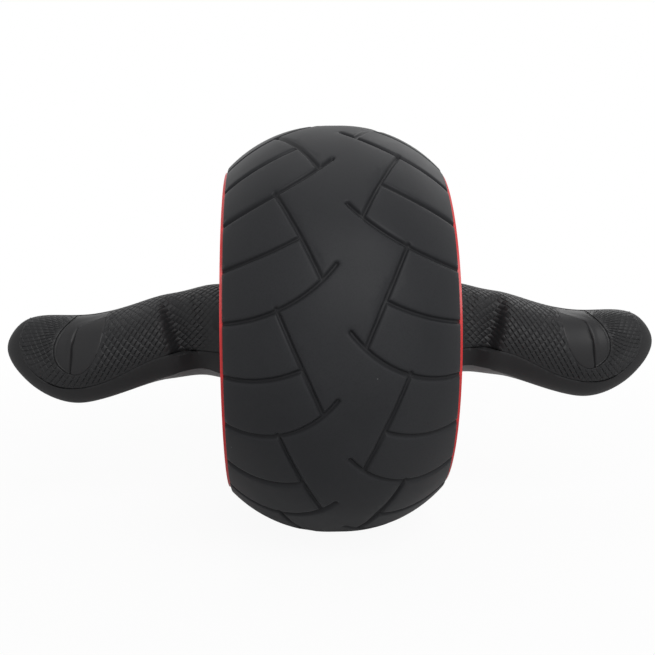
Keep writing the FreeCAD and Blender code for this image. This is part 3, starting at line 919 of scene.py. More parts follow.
@dataclass
class Tyre:
    """The crowned tyre with its moulded tread, in millimetres and degrees about the axle.

    The merging distance is in metres. The wall table gives the share of a groove's depth at distances from
    the groove's wall, negative inside the groove.
    """

    radius: float = 92.5
    half_width: float = 46.8
    half_flat: float = 3.0
    crown: float = 61.0
    edge_round: float = 1.2
    thickness: float = 8.0
    pitches: int = 11
    groove_half: float = 1.0
    groove_depth: float = 1.4
    long_radius: float = 55.8
    long_stop: float = 2.5
    short_radius: float = 66.8
    short_stop: float = 16.0
    short_share: float = 0.5
    slant_outer: float = 25.5
    slant_inner: float = 8.0
    right_phase: float = -4.6
    near_pitches: tuple[int, ...] = (-2, -1, 0, 1, 2, 3)
    wall: Table = (
        (-0.75, 1.0), (-0.5, 0.86), (-0.25, 0.62), (0.0, 0.36), (0.25, 0.18), (0.6, 0.06), (1.3, 0.0),
    )
    crown_steps: int = 80
    round_steps: int = 8
    curl_steps: int = 400
    lead_steps: int = 20
    slant_steps: int = 250
    grid: float = 0.3
    line_tolerance: float = 0.012
    spacing: float = 2.6
    groove_clear: float = 0.4
    round_rows: int = 4
    bore_rows: int = 15
    bore_columns: int = 9
    merge: float = 4e-6
    crease: float = 62.0

    def __post_init__(self) -> None:
        """Works out the profile that the tread is drawn on."""
        inner = self.crown - self.edge_round
        turn = math.asin((self.half_width - self.edge_round - self.half_flat) / inner)
        low = self.radius - self.crown
        rows = [(0.0, self.radius)]
        for angle in np.linspace(0, turn, self.crown_steps):
            rows.append((self.half_flat + self.crown * math.sin(angle), low + self.crown * math.cos(angle)))
        centre = (self.half_flat + inner * math.sin(turn), low + inner * math.cos(turn))
        for angle in np.linspace(turn, math.pi / 2, self.round_steps)[1:]:
            rows.append((
                centre[0] + self.edge_round * math.sin(angle), centre[1] + self.edge_round * math.cos(angle),
            ))
        self.rows = np.array(rows)
        self.runs = np.concatenate([[0], np.cumsum(np.hypot(*np.diff(self.rows, axis=0).T))])
        self.reach = float(self.runs[-1])
        crown_end = self.half_flat + self.crown * math.sin(turn)
        self.round_start = float(np.interp(crown_end, self.rows[:, 0], self.runs))
        self.pitch = 2 * math.pi / self.pitches
        self.length = self.pitch * self.radius
        self.tree = self.groove_tree()

    def profile(self, run: np.ndarray) -> tuple[np.ndarray, np.ndarray]:
        """Places along the axle and radii at distances along the profile, negative on the left."""
        across = np.sign(run) * np.interp(np.abs(run), self.runs, self.rows[:, 0])
        return across, np.interp(np.abs(run), self.runs, self.rows[:, 1])

    def crown_radius(self, across: np.ndarray, depth: np.ndarray | float = 0.0) -> np.ndarray:
        """Finds the radius of the crowned surface, or of one at a depth under it.

        Args:
            across: Places along the axle.
            depth: Depth under the tread.

        Returns:
            The radii.
        """
        arc = self.crown - depth
        side = np.maximum(np.abs(across) - self.half_flat, 0.0)
        return self.radius - depth - arc + np.sqrt(np.maximum(arc**2 - side**2, 0.0))

    @staticmethod
    def on_wheel(across: np.ndarray, radius: np.ndarray, angle: np.ndarray) -> np.ndarray:
        """Points at places along the axle, radii and angles in radians above the front."""
        return np.stack([across, -radius * np.cos(angle), radius * np.sin(angle)], axis=-1)

    def curved_groove(self, radius: float, stop: float) -> tuple[np.ndarray, np.ndarray]:
        """Draws the middle line of a groove that leaves the edge square and curls up.

        Args:
            radius: Radius of the curl.
            stop: Place along the axle where it ends.

        Returns:
            Places along the axle and heights at the front.
        """
        turn = math.asin((self.half_width - stop) / radius)
        angles = np.linspace(0, turn, self.curl_steps)
        outside = self.half_width + 4 * self.groove_half
        lead = np.linspace(outside, self.half_width, self.lead_steps)[:-1]
        across = np.concatenate([lead, self.half_width - radius * np.sin(angles)])
        height = np.concatenate([np.zeros(len(lead)), radius - radius * np.cos(angles)])
        return across, height

    def rise(self, across: float) -> float:
        """Angle that the long groove has climbed at a place along the axle."""
        climb = self.long_radius - math.sqrt(self.long_radius**2 - (self.half_width - across) ** 2)
        return math.asin(climb / self.radius)

    def groove_lines(self) -> list[tuple[np.ndarray, np.ndarray]]:
        """Draws the middle lines of one pitch's grooves on the right.

        Returns:
            Places along the axle and angles above the front of each line.
        """
        lines = []
        for radius, stop, share in (
            (self.long_radius, self.long_stop, 0.0), (self.short_radius, self.short_stop, self.short_share),
        ):
            across, height = self.curved_groove(radius, stop)
            lines.append((across, np.arcsin(height / self.crown_radius(across)) + share * self.pitch))
        upper, lower = self.pitch + self.rise(self.slant_outer), self.rise(self.slant_inner)
        half_rise = self.radius * math.sin((upper - lower) / 2)
        across = np.linspace(self.slant_outer, self.slant_inner, self.slant_steps)
        height = np.linspace(half_rise, -half_rise, self.slant_steps)
        lines.append((across, np.arcsin(height / self.crown_radius(across)) + (upper + lower) / 2))
        return lines

    def groove_tree(self) -> KDTree:
        """Makes a search tree of all groove middle lines near one pitch.

        Returns:
            The tree, in millimetres about the axle.
        """
        spots = []
        phase = math.radians(self.right_phase)
        for across, angle in self.groove_lines():
            for step in self.near_pitches:
                turned = angle + phase + step * self.pitch
                spots.append(self.on_wheel(across, self.crown_radius(across), turned))
                spots.append(self.on_wheel(-across, self.crown_radius(across), turned - self.pitch / 2))
        every = np.concatenate(spots)
        tree = KDTree(len(every))
        for i, spot in enumerate(every):
            tree.insert(spot, i)
        tree.balance()
        return tree

    def groove_distance(self, run: np.ndarray, angle: np.ndarray) -> np.ndarray:
        """Measures how far points are from the nearest groove's wall, negative inside a groove.

        Args:
            run: Distances along the profile.
            angle: Angles above the front.

        Returns:
            The distances.
        """
        across, _ = self.profile(run)
        spots = self.on_wheel(across, self.crown_radius(across), angle)
        flat = [self.tree.find(spot)[2] for spot in spots.reshape(-1, 3)]
        return np.array(flat).reshape(np.shape(run)) - self.groove_half

    def draw_tread(self) -> tuple[np.ndarray, np.ndarray]:
        """Draws one pitch of tread flat, with lines along the grooves' walls.

        Returns:
            Points as distance along the profile and along the circumference, and triangles.
        """
        sheet = Sheet()
        across = np.linspace(-self.reach, self.reach, int(2 * self.reach / self.grid) + 1)
        along = np.linspace(0, self.length, int(self.length / self.grid) + 1)
        distance = self.groove_distance(*np.meshgrid(across, along / self.radius, indexing="ij"))
        distance[:, -1] = distance[:, 0]
        for level, _ in self.wall:
            for line in level_lines(distance, level, across, along):
                sheet.line(thinned(line, self.line_tolerance))
        row_count = int(2 * self.round_start / self.spacing) + 1
        inner = np.linspace(-self.round_start, self.round_start, row_count)
        edge = np.linspace(self.round_start, self.reach, self.round_rows)[1:]
        rows = np.concatenate([-edge[::-1], inner, edge])
        columns = np.linspace(0, self.length, int(self.length / self.spacing) + 1)
        dots = grid_points(rows, columns).reshape(-1, 2)
        clear = self.wall[-1][0] + self.groove_clear
        sheet.dots(dots[self.groove_distance(dots[:, 0], dots[:, 1] / self.radius) > clear])
        sheet.dots([(run, place) for run in (-self.reach, self.reach) for place in (0.0, self.length)])
        return sheet.triangles()

    def sector(self) -> Piece:
        """Builds one pitch of the tyre about the origin: tread, sides and bore.

        Returns:
            The object, with the groove attribute on its points.
        """
        flat, faces = self.draw_tread()
        angle = flat[:, 1] / self.radius
        across, radius = self.profile(flat[:, 0])
        share = np.interp(self.groove_distance(flat[:, 0], angle), *zip(*self.wall))
        radius = np.minimum(radius, self.crown_radius(across, share * self.groove_depth))
        points, every = [self.on_wheel(across, radius, angle)], [faces]
        count = len(flat)
        bore = Sheet()
        for end in (-self.reach, self.reach):
            ring = np.nonzero(np.isclose(flat[:, 0], end))[0]
            ring = ring[np.argsort(flat[ring, 1])]
            edge = np.full(len(ring), math.copysign(self.half_width, end))
            points.append(self.on_wheel(edge, self.crown_radius(edge, self.thickness), angle[ring]))
            low = count + np.arange(len(ring))
            every.append(np.stack([ring[:-1], ring[1:], low[1:]], axis=-1))
            every.append(np.stack([ring[:-1], low[1:], low[:-1]], axis=-1))
            count += len(ring)
            bore.dots(np.stack([edge, flat[ring, 1]], axis=-1))
        rows = np.linspace(-self.half_width, self.half_width, self.bore_rows)[1:-1]
        columns = np.linspace(0, self.length, self.bore_columns)
        bore.dots(grid_points(rows, columns).reshape(-1, 2))
        inner, inner_faces = bore.triangles()
        inner_radius = self.crown_radius(inner[:, 0], self.thickness)
        points.append(self.on_wheel(inner[:, 0], inner_radius, inner[:, 1] / self.radius))
        every.append(inner_faces + count)
        made = mesh_object("tyre_tread", np.concatenate(points) * MM, np.concatenate(every))
        shares = np.zeros(len(made.data.vertices), np.float32)
        shares[:len(flat)] = share
        made.data.attributes.new("groove", "FLOAT", "POINT").data.foreach_set("value", shares)
        return made

    @staticmethod
    def round_tree() -> NodeGroup:
        """Makes the geometry tree that repeats one pitch round the axle.

        Returns:
            The tree, with the pitch count, axle height, merging distance and material as inputs.
        """
        group = NodeGroup(
            "tread_round_axle", "GeometryNodeTree",
            {"Geometry": "Geometry", "Pitch Count": "Int", "Axle Height": "Float", "Merge Distance": "Float",
             "Material": "Material"},
            {"Geometry": "Geometry"},
        )
        entry = group.entry
        single = group.add("GeometryNodeGeometryToInstance", {0: entry["Geometry"]})
        spots = group.add("GeometryNodePoints", {"Count": entry["Pitch Count"]})
        index = group.add("GeometryNodeInputIndex")
        turn = calculate(group.tree, "DIVIDE", 2 * math.pi, entry["Pitch Count"])
        angle = calculate(group.tree, "MULTIPLY", index.outputs[0], turn)
        euler = group.add("ShaderNodeCombineXYZ", {"X": angle})
        rotation = group.add("FunctionNodeEulerToRotation", {0: euler.outputs[0]})
        whole = group.copies(spots.outputs[0], single.outputs[0], rotation.outputs[0])
        links = {"Geometry": whole, "Distance": entry["Merge Distance"]}
        merged = group.add("GeometryNodeMergeByDistance", links)
        group.put_out(group.lift(merged.outputs[0], entry["Axle Height"]))
        return group

    def build(self, shop: Workshop) -> None:
        """Builds the tyre and hands it over.

        Args:
            shop: Materials and frame.
        """
        made = self.sector()
        run_tree(made, self.round_tree(), {
            "Pitch Count": self.pitches, "Axle Height": AXLE_HEIGHT, "Merge Distance": self.merge,
            "Material": shop.materials["tyre_rubber"],
        })
        close_up(made, self.merge)
        shade(made, self.crease)
        shop.hand_over(made, Body.WHEEL, "tyre_rubber", "tyre")


# Handle skins


class HandleSkin:
    """The right handle's outside as a radius about a smooth middle line, read from CAD in millimetres."""

    flat_radius = 19.5
    outside = 70.0
    step = 0.5
    blur = 1.3
    blur_reach = 3
    fill_rounds = 4
    nearer = 1e-4
    angle_grid = (-80.0, 165.0, 1.5)
    middle_shares = (0.02, 0.97, 30)
    middle_window = 3.0
    middle_order = 5
    strides = (1.0, 2.0)
    halvings = 14
    edge_tolerance = 0.02

    def __init__(self) -> None:
        """Reads the pad, the inlay and the front shell."""
        stems = ("grip_pad", "thumb_inlay", "handle_front")
        self.trees = {stem: self.tree_of(Side.RIGHT.node(stem)) for stem in stems}
        low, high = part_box(Side.RIGHT.node("handle_front"))
        self.start, self.end = low.x / MM, high.x / MM
        self.middle = self.middle_line()
        self.fill_field()

    @staticmethod
    def tree_of(node: str) -> BVHTree:
        """Makes a search tree of a CAD node's triangles.

        Args:
            node: Name of the node.

        Returns:
            The tree, in millimetres about the axle.
        """
        mesh = frame["nodes"][node].data
        points = [Vector((v.co.x, v.co.y, v.co.z - AXLE_HEIGHT)) / MM for v in mesh.vertices]
        return BVHTree.FromPolygons(points, [tuple(p.vertices) for p in mesh.polygons])

    def middle_line(self) -> np.ndarray:
        """Fits a smooth line down the middle of the handle.

        Returns:
            Coefficients of the height as a polynomial of the share of the length.
        """
        mesh = frame["nodes"][Side.RIGHT.node("handle_front")].data
        spots = np.array([v.co for v in mesh.vertices]) / MM
        spots[:, 2] -= AXLE_HEIGHT / MM
        shares = np.linspace(*self.middle_shares)
        heights = []
        for share in shares:
            place = self.start + share * (self.end - self.start)
            near = spots[np.abs(spots[:, 0] - place) < self.middle_window]
            heights.append((near[:, 2].min() + near[:, 2].max()) / 2)
        return np.polyfit(shares, heights, self.middle_order)

    def height(self, place: np.ndarray | float) -> np.ndarray | float:
        """Height of the middle line at a place along the axle."""
        return np.polyval(self.middle, (place - self.start) / (self.end - self.start))

    def hit(self, place: float, angle: float) -> tuple[str | None, float]:
        """Looks inwards at the handle.

        Args:
            place: Place along the axle.
            angle: Angle above the front, about the middle line.

        Returns:
            Which node is met first, and its distance from the middle line.
        """
        out = Vector((0.0, -math.cos(angle), math.sin(angle)))
        base = Vector((place, 0.0, float(self.height(place))))
        found, best = None, 0.0
        for stem, tree in self.trees.items():
            spot = tree.ray_cast(base + out * self.outside, -out, self.outside)[0]
            if spot is not None and (spot - base).length > best + self.nearer:
                found, best = stem, (spot - base).length
        return found, best

    def owner(self, flat: np.ndarray) -> str | None:
        """Node that shows at a point of the flattened skin."""
        return self.hit(flat[0], flat[1] / self.flat_radius)[0]

    def fill_field(self) -> None:
        """Samples the pad's and inlay's radius on a grid and rounds off its sharp edges a little."""
        self.places = np.arange(self.start, self.end, self.step)
        self.angles = np.radians(np.arange(*self.angle_grid))
        radius = np.zeros((len(self.places), len(self.angles)))
        for i, place in enumerate(self.places):
            for j, angle in enumerate(self.angles):
                stem, away = self.hit(place, angle)
                if stem in ("grip_pad", "thumb_inlay"):
                    radius[i, j] = away
        mask = (radius > 0).astype(float)
        reach = int(self.blur_reach * self.blur / self.step)
        bell = np.exp(-0.5 * (np.arange(-reach, reach + 1) * self.step / self.blur) ** 2)

        def spread(values: np.ndarray) -> np.ndarray:
            """Blurs a field along both of its directions."""
            for axis in (0, 1):
                values = np.apply_along_axis(np.convolve, axis, values, bell, "same")
            return values

        weight = spread(mask)
        smooth = spread(radius) / np.maximum(weight, 1e-9)
        for _ in range(self.fill_rounds * reach):
            empty = weight < 1e-6
            if not empty.any():
                break
            weight = spread((~empty).astype(float))
            smooth = np.where(empty, spread(np.where(empty, 0, smooth)) / np.maximum(weight, 1e-9), smooth)
        self.field = smooth

    def radius(self, place: np.ndarray, angle: np.ndarray) -> np.ndarray:
        """Reads the rounded radius of the pad's outside.

        Args:
            place: Places along the axle.
            angle: Angles above the front.

        Returns:
            The radii about the middle line.
        """
        i = np.clip((place - self.places[0]) / self.step, 0, len(self.places) - 1.001)
        j = np.clip((angle - self.angles[0]) / (self.angles[1] - self.angles[0]), 0, len(self.angles) - 1.001)
        a, b = i.astype(int), j.astype(int)
        u, v = i - a, j - b
        grid = self.field
        return (
            grid[a, b] * (1 - u) * (1 - v) + grid[a + 1, b] * u * (1 - v)
            + grid[a, b + 1] * (1 - u) * v + grid[a + 1, b + 1] * u * v
        )

    def slope(self, flat: np.ndarray) -> np.ndarray:
        """Measures how steep the outside is along the handle.

        Args:
            flat: Points of the flattened skin.

        Returns:
            Change of the radius for each millimetre along the axle.
        """
        angle = flat[:, 1] / self.flat_radius
        ends = [self.radius(flat[:, 0] + shift, angle) for shift in (-self.step, self.step)]
        return np.abs(ends[1] - ends[0]) / (2 * self.step)

    def lift(self, flat: np.ndarray, sink: np.ndarray | float) -> np.ndarray:
        """Puts flattened points back on the handle.

        Args:
            flat: Points as place along the axle and distance round the handle.
            sink: Depth under the outside.

        Returns:
            Points in millimetres about the axle.
        """
        angle = flat[:, 1] / self.flat_radius
        radius = self.radius(flat[:, 0], angle) - sink
        return np.stack([
            flat[:, 0], -radius * np.cos(angle), self.height(flat[:, 0]) + radius * np.sin(angle),
        ], axis=-1)

    def outline(self, centre: Point, stems: Sequence[str], count: int) -> np.ndarray:
        """Finds the edge of one or more nodes on the flattened skin.

        Args:
            centre: A point inside, from which all of the edge can be seen.
            stems: The nodes' stems.
            count: Number of directions to look in.

        Returns:
            The closed edge, thinned.
        """
        edge = []
        middle = np.array(centre)
        for turn in np.linspace(0, 2 * math.pi, count, endpoint=False):
            way = np.array([math.cos(turn), math.sin(turn)])
            near, far = 0.0, self.strides[0]
            while self.owner(middle + way * far) in stems:
                near, far = far, far + self.strides[1]
            for _ in range(self.halvings):
                half = (near + far) / 2
                if self.owner(middle + way * half) in stems:
                    near = half
                else:
                    far = half
            edge.append(middle + way * near)
        edge = np.array(edge)
        return thinned(np.concatenate([edge, edge[:1]]), self.edge_tolerance)[:-1]


@dataclass
class Shell:
    """A closed shell on the handle, drawn flat, in millimetres; the merging distance is in metres."""

    skin: HandleSkin
    sheet: Sheet
    keep: Callable[[np.ndarray], np.ndarray]
    sink: Callable[[np.ndarray], np.ndarray]
    thickness: float
    under_grid: float = 1.2
    under_clear: float = 0.8
    merge: float = 2e-6

    def filled(self, sheet: Sheet) -> tuple[np.ndarray, np.ndarray]:
        """Points of a drawing, and those of its triangles that are inside the piece."""
        flat, faces = sheet.triangles()
        return flat, faces[self.keep(flat[faces].mean(axis=1))]

    def build(self, name: str) -> Piece:
        """Builds the outside, a coarser underside and the wall between their rims.

        Args:
            name: Name of the piece.

        Returns:
            The right-hand object.
        """
        flat, faces = self.filled(self.sheet)
        pairs = dict.fromkeys((a, b) for face in faces for a, b in zip(face, np.roll(face, -1)))
        rim = [(a, b) for a, b in pairs if (b, a) not in pairs]
        used = sorted({i for edge in rim for i in edge})
        index = {old: new for new, old in enumerate(used)}
        border = flat[used]
        under = Sheet()
        under.dots(border)
        under.edges = [(index[a], index[b]) for a, b in rim]
        dots = grid_points(*ticks_over(border, self.under_grid)).reshape(-1, 2)
        far = np.array([np.hypot(*(border - dot).T).min() > self.under_clear for dot in dots])
        under.dots(dots[far & self.keep(dots)])
        inner, inner_faces = self.filled(under)
        points = [self.skin.lift(flat, self.sink(flat))]
        points += [self.skin.lift(spots, self.thickness) for spots in (inner, border)]
        first, second = len(flat), len(flat) + len(inner)
        walls = []
        for a, b in rim:
            walls += [(b, a, second + index[a]), (b, second + index[a], second + index[b])]
        every = [*faces, *(inner_faces[:, ::-1] + first), *walls]
        made = mesh_object(name, to_frame(np.concatenate(points)), every)
        close_up(made, self.merge)
        return made


@dataclass
class Lines:
    """A family of texture lines on the flattened skin, whose direction turns along the handle."""

    spacing: float
    half: float
    depth: float
    angles: Table
    fan_centre: Point | None = None
    fan_radius: float = 22.0
    fan_clear: float = 5.0
    length: float = 200.0
    steps: int = 2001
    tolerance: float = 0.02

    def __post_init__(self) -> None:
        """Works out the running count of lines along the handle."""
        self.run = np.linspace(0.0, self.length, self.steps)
        self.turn = np.radians(np.interp(self.run, *zip(*self.angles)))
        self.along = np.cumsum(np.sin(self.turn)) * (self.run[1] - self.run[0])

    def straight(self, flat: np.ndarray) -> np.ndarray:
        """Running number of lines at points, without the fan."""
        along = np.interp(flat[..., 0], self.run, self.along)
        return (along - np.cos(np.interp(flat[..., 0], self.run, self.turn)) * flat[..., 1]) / self.spacing

    def number(self, flat: np.ndarray) -> np.ndarray:
        """Counts the lines up to points; whole numbers are the lines' middles.

        Args:
            flat: Points of the flattened skin.

        Returns:
            The running numbers.
        """
        plain = self.straight(flat)
        if self.fan_centre is None:
            return plain
        centre = np.array(self.fan_centre)
        hinge = float(self.straight(centre))
        first = float(np.interp(centre[0], self.run, self.turn))
        away = flat - centre
        swing = np.clip(np.arctan2(away[..., 1], away[..., 0]) - first, 0, None)
        return np.where(plain < hinge, hinge - swing * self.fan_radius / self.spacing, plain)

    def share(self, flat: np.ndarray) -> np.ndarray:
        """Finds the share of the lines' depth at points, 1 at a line's middle and 0 beside it.

        Args:
            flat: Points of the flattened skin.

        Returns:
            The shares.
        """
        number = self.number(flat)
        share = np.clip(1 - np.abs(number - np.round(number)) * self.spacing / self.half, 0, 1)
        if self.fan_centre is not None:
            away = np.hypot(*(flat - np.array(self.fan_centre)).T)
            share = share * np.clip(away / self.fan_clear - 1, 0, 1)
        return share

    def draw(self, sheet: Sheet, across: np.ndarray, along: np.ndarray) -> None:
        """Draws every line as its two sides and its bottom.

        Args:
            sheet: The drawing.
            across: Places along the axle of a grid over the piece.
            along: Distances round the handle of the same grid.
        """
        number = self.number(grid_points(across, along))
        for line in range(math.floor(number.min()), math.ceil(number.max()) + 1):
            for side in (-1, 0, 1):
                for run in level_lines(number, line + side * self.half / self.spacing, across, along):
                    sheet.line(thinned(run, self.tolerance))


@dataclass
class GripPad:
    """The diamond-textured rubber pad, drawn on the right and mirrored, in millimetres and degrees."""

    skin: HandleSkin
    thickness: float = 2.1
    centre: Point = (95.0, 8.0)
    directions: int = 900
    falling: Lines = field(default_factory=lambda: Lines(
        2.3, 0.42, 0.40, ((60.0, -45.0), (90.0, -52.0), (114.0, -60.0)), fan_centre=(116.0, 19.0),
    ))
    climbing: Lines = field(default_factory=lambda: Lines(
        2.6, 0.36, 0.26, ((60.0, 48.0), (92.0, 51.0), (106.0, 61.0), (128.0, 68.0)),
    ))
    bridge: float = 0.6
    border_start: float = 0.2
    border: float = 1.0
    edge_roll: Table = ((116.0, 0.16), (134.0, 0.5))
    edge_width: float = 0.6
    steep: float = 0.9
    valley_line: Table = ((-20.0, 68.5), (9.0, 71.5), (60.0, 76.5))
    valley_depth: float = 1.35
    valley_reach: Point = (6.5, 1.9)
    valley_end: Point = (45.0, 75.0)
    grid: float = 0.4
    margin: float = 1.0
    crease: float = 40.0

    def valley(self, flat: np.ndarray) -> np.ndarray:
        """Finds how much deeper the finger valley's floor lies next to its wall.

        Args:
            flat: Points of the flattened skin.

        Returns:
            Depths under the outside.
        """
        angle = np.degrees(flat[:, 1] / self.skin.flat_radius)
        away = flat[:, 0] - np.interp(angle, *zip(*self.valley_line))
        reach = np.where(away < 0, *self.valley_reach)
        end = np.interp(angle, self.valley_end, (1.0, 0.0))
        return self.valley_depth * end * np.exp(-((away / reach) ** 2))

    def sink(self, flat: np.ndarray, edges: Sequence[np.ndarray]) -> np.ndarray:
        """Adds up the texture, which is fainter on steep walls, the valley and the rolled edges.

        Args:
            flat: Points of the flattened skin.
            edges: The pad's outer edge and the inlay's edge.

        Returns:
            Depths under the outside.
        """
        away = np.min([edge_distance(flat, edge) for edge in edges], axis=0)
        fall, climb = self.falling.share(flat), self.climbing.share(flat)
        groove = np.maximum(
            fall * self.falling.depth * (1 - self.bridge * climb), climb * self.climbing.depth
        )
        fade = np.clip((away - self.border_start) / self.border, 0, 1)
        fade = fade / (1 + (self.skin.slope(flat) / self.steep) ** 2)
        roll = np.clip(1 - away / self.edge_width, 0, 1) ** 2
        roll *= np.interp(flat[:, 0], *zip(*self.edge_roll))
        return groove * fade + self.valley(flat) + roll

    def build(self, shop: Workshop, hole: np.ndarray) -> None:
        """Builds both pads and hands them over.

        Args:
            shop: Materials and frame.
            hole: The inlay's edge.
        """
        edge = self.skin.outline(self.centre, ("grip_pad", "thumb_inlay"), self.directions)
        sheet = Sheet()
        for closed in (edge, hole):
            sheet.line(closed, closed=True)
        for family in (self.falling, self.climbing):
            family.draw(sheet, *ticks_over(edge, self.grid, self.margin))
        made = Shell(
            self.skin, sheet, lambda spots: inside(spots, edge) & ~inside(spots, hole),
            lambda spots: self.sink(spots, (edge, hole)), self.thickness,
        ).build("grip_pad_right_textured")
        shade(made, self.crease)
        shop.hand_over_both(made, "grip_pad", "grip_rubber")


@dataclass
class ThumbInlay:
    """The smooth teardrop plate with its creased facet, drawn on the right and mirrored, in millimetres."""

    skin: HandleSkin
    thickness: float = 2.1
    centre: Point = (118.0, 6.0)
    directions: int = 500
    crease: Table = (
        (90.0, 26.0), (104.4, 23.5), (113.4, 21.3), (115.0, 20.4),
        (115.9, 18.8), (117.5, 11.0), (118.6, -2.5), (119.0, -14.0),
    )
    crease_half: float = 0.5
    crease_depth: float = 0.6
    facet_slope: float = 0.12
    facet_drop: float = 0.35
    groove_inset: float = 1.1
    groove_half: float = 0.3
    groove_depth: float = 0.14
    edge_roll: float = 0.32
    edge_width: float = 0.5
    edge_clear: float = 0.3
    grid: float = 0.5
    margin: float = 1.0
    tolerance: float = 0.02
    sharp: float = 30.0

    def outline(self) -> np.ndarray:
        """Edge of the inlay on the flattened skin."""
        return self.skin.outline(self.centre, ("thumb_inlay",), self.directions)

    def past_crease(self, flat: np.ndarray) -> np.ndarray:
        """Measures how far points lie past the crease, negative on the plate's side.

        Args:
            flat: Points of the flattened skin.

        Returns:
            The distances.
        """
        best, past = np.full(len(flat), np.inf), np.zeros(len(flat))
        corners = np.array(self.crease)
        for a, b in zip(corners, corners[1:]):
            span, size = b - a, off_line(flat, a, b)
            side = np.sign(span[0] * (flat[:, 1] - a[1]) - span[1] * (flat[:, 0] - a[0]))
            past = np.where(size < best - 1e-9, side * size, past)
            best = np.minimum(best, size)
        return past

    def sink(self, flat: np.ndarray, edge: np.ndarray) -> np.ndarray:
        """Adds up the crease, the groove, the facet and the rolled edge.

        Args:
            flat: Points of the flattened skin.
            edge: The inlay's edge.

        Returns:
            Depths under the outside.
        """
        away, past = edge_distance(flat, edge), self.past_crease(flat)
        crease = np.clip(1 - np.abs(past) / self.crease_half, 0, 1) * self.crease_depth
        facet = np.minimum(np.clip(past, 0, None) * self.facet_slope, self.facet_drop)
        groove = np.clip(1 - np.abs(away - self.groove_inset) / self.groove_half, 0, 1) * (past > 0)
        roll = np.clip(1 - away / self.edge_width, 0, 1) ** 2
        return np.maximum(crease, groove * self.groove_depth) + facet + roll * self.edge_roll

    def build(self, shop: Workshop, edge: np.ndarray) -> None:
        """Builds both inlays and hands them over.

        Args:
            shop: Materials and frame.
            edge: The inlay's edge.
        """
        sheet = Sheet()
        sheet.line(edge, closed=True)
        ticks = ticks_over(edge, self.grid, self.margin)
        grid = grid_points(*ticks)
        dots = grid.reshape(-1, 2)
        within = inside(dots, edge)
        away = np.where(within, 1, -1) * edge_distance(dots, edge)
        past = self.past_crease(dots)
        clear = away > self.edge_clear
        for values, middle, half in (
            (past, 0.0, self.crease_half), (away, self.groove_inset, self.groove_half),
        ):
            clear &= np.abs(values - middle) > 2 * half
            for level in (middle - half, middle, middle + half):
                for line in level_lines(values.reshape(grid.shape[:2]), level, *ticks):
                    sheet.line(thinned(line[inside(line, edge)], self.tolerance))
        sheet.dots(dots[within & clear])
        made = Shell(
            self.skin, sheet, lambda spots: inside(spots, edge),
            lambda spots: self.sink(spots, edge), self.thickness,
        ).build("thumb_inlay_right_facet")
        shade(made, self.sharp)
        shop.hand_over_both(made, "thumb_inlay", "inlay_black")


@dataclass
class FrontShell:
    """The front shell, with its band carried on below the finger valley, in millimetres and degrees."""

    skin: HandleSkin
    valley: Point = (62.0, 73.0)
    rise: float = 8.5
    angles: Point = (-54.0, -14.0)
    skin_depth: float = 0.05
    cuts: int = 3
    sharp: float = 30.0

    def polar(self, vert: bmesh.types.BMVert) -> Triple:
        """Describes a point about the handle's middle line.

        Args:
            vert: The point, in metres.

        Returns:
            Its place along the axle, angle above the front and radius.
        """
        place, y, z = vert.co.x / MM, vert.co.y / MM, (vert.co.z - AXLE_HEIGHT) / MM
        z -= float(self.skin.height(place))
        return place, math.atan2(z, -y), math.hypot(y, z)

    def on_band(self, vert: bmesh.types.BMVert) -> bool:
        """Tells whether a point lies on the outside, below the pad and inside the valley.

        Args:
            vert: The point, in metres.

        Returns:
            True on the band.
        """
        place, angle, radius = self.polar(vert)
        if not self.valley[0] < place < self.valley[1]:
            return False
        if not self.angles[0] < math.degrees(angle) < self.angles[1]:
            return False
        return abs(self.skin.hit(place, angle)[1] - radius) < self.skin_depth

    def band_radius(self, place: float, angle: float) -> float:
        """Finds the radius of a band that runs smoothly from one side of the valley to the other.

        Args:
            place: Place along the axle.
            angle: Angle above the front.

        Returns:
            The radius.
        """
        share = min((place - self.valley[0]) / self.rise, 1.0)
        before, after = (self.skin.hit(x, angle)[1] for x in self.valley)
        return before + (after - before) * share * share * (3 - 2 * share)

    def fill_valley(self, shape: bmesh.types.BMesh) -> int:
        """Divides the band's faces in the valley and moves their points out.

        Args:
            shape: The shell, in metres.

        Returns:
            Number of points moved.
        """
        band = [vert for vert in shape.verts if self.on_band(vert)]
        edges = dict.fromkeys(edge for vert in band for face in vert.link_faces for edge in face.edges)
        bmesh.ops.subdivide_edges(shape, edges=list(edges), cuts=self.cuts, use_grid_fill=True)
        bmesh.ops.triangulate(shape, faces=shape.faces)
        moved = 0
        for vert in shape.verts:
            if not self.on_band(vert):
                continue
            place, angle, radius = self.polar(vert)
            full = self.band_radius(place, angle)
            if full > radius:
                middle = float(self.skin.height(place))
                vert.co.y = -full * math.cos(angle) * MM
                vert.co.z = AXLE_HEIGHT + (middle + full * math.sin(angle)) * MM
                moved += 1
        return moved

    def build(self, shop: Workshop) -> None:
        """Builds both shells and hands them over.

        Args:
            shop: Materials and frame.
        """
        shape = merged_node(Side.RIGHT.node("handle_front"))
        LOG.info("band points carried on: %d", self.fill_valley(shape))
        bmesh.ops.recalc_face_normals(shape, faces=shape.faces)
        made = mesh_object("handle_front_right_band", np.zeros((0, 3)), [])
        shape.to_mesh(made.data)
        shape.free()
        shade(made, self.sharp)
        shop.hand_over_both(made, "handle_front", "handle_black")


# Fasteners


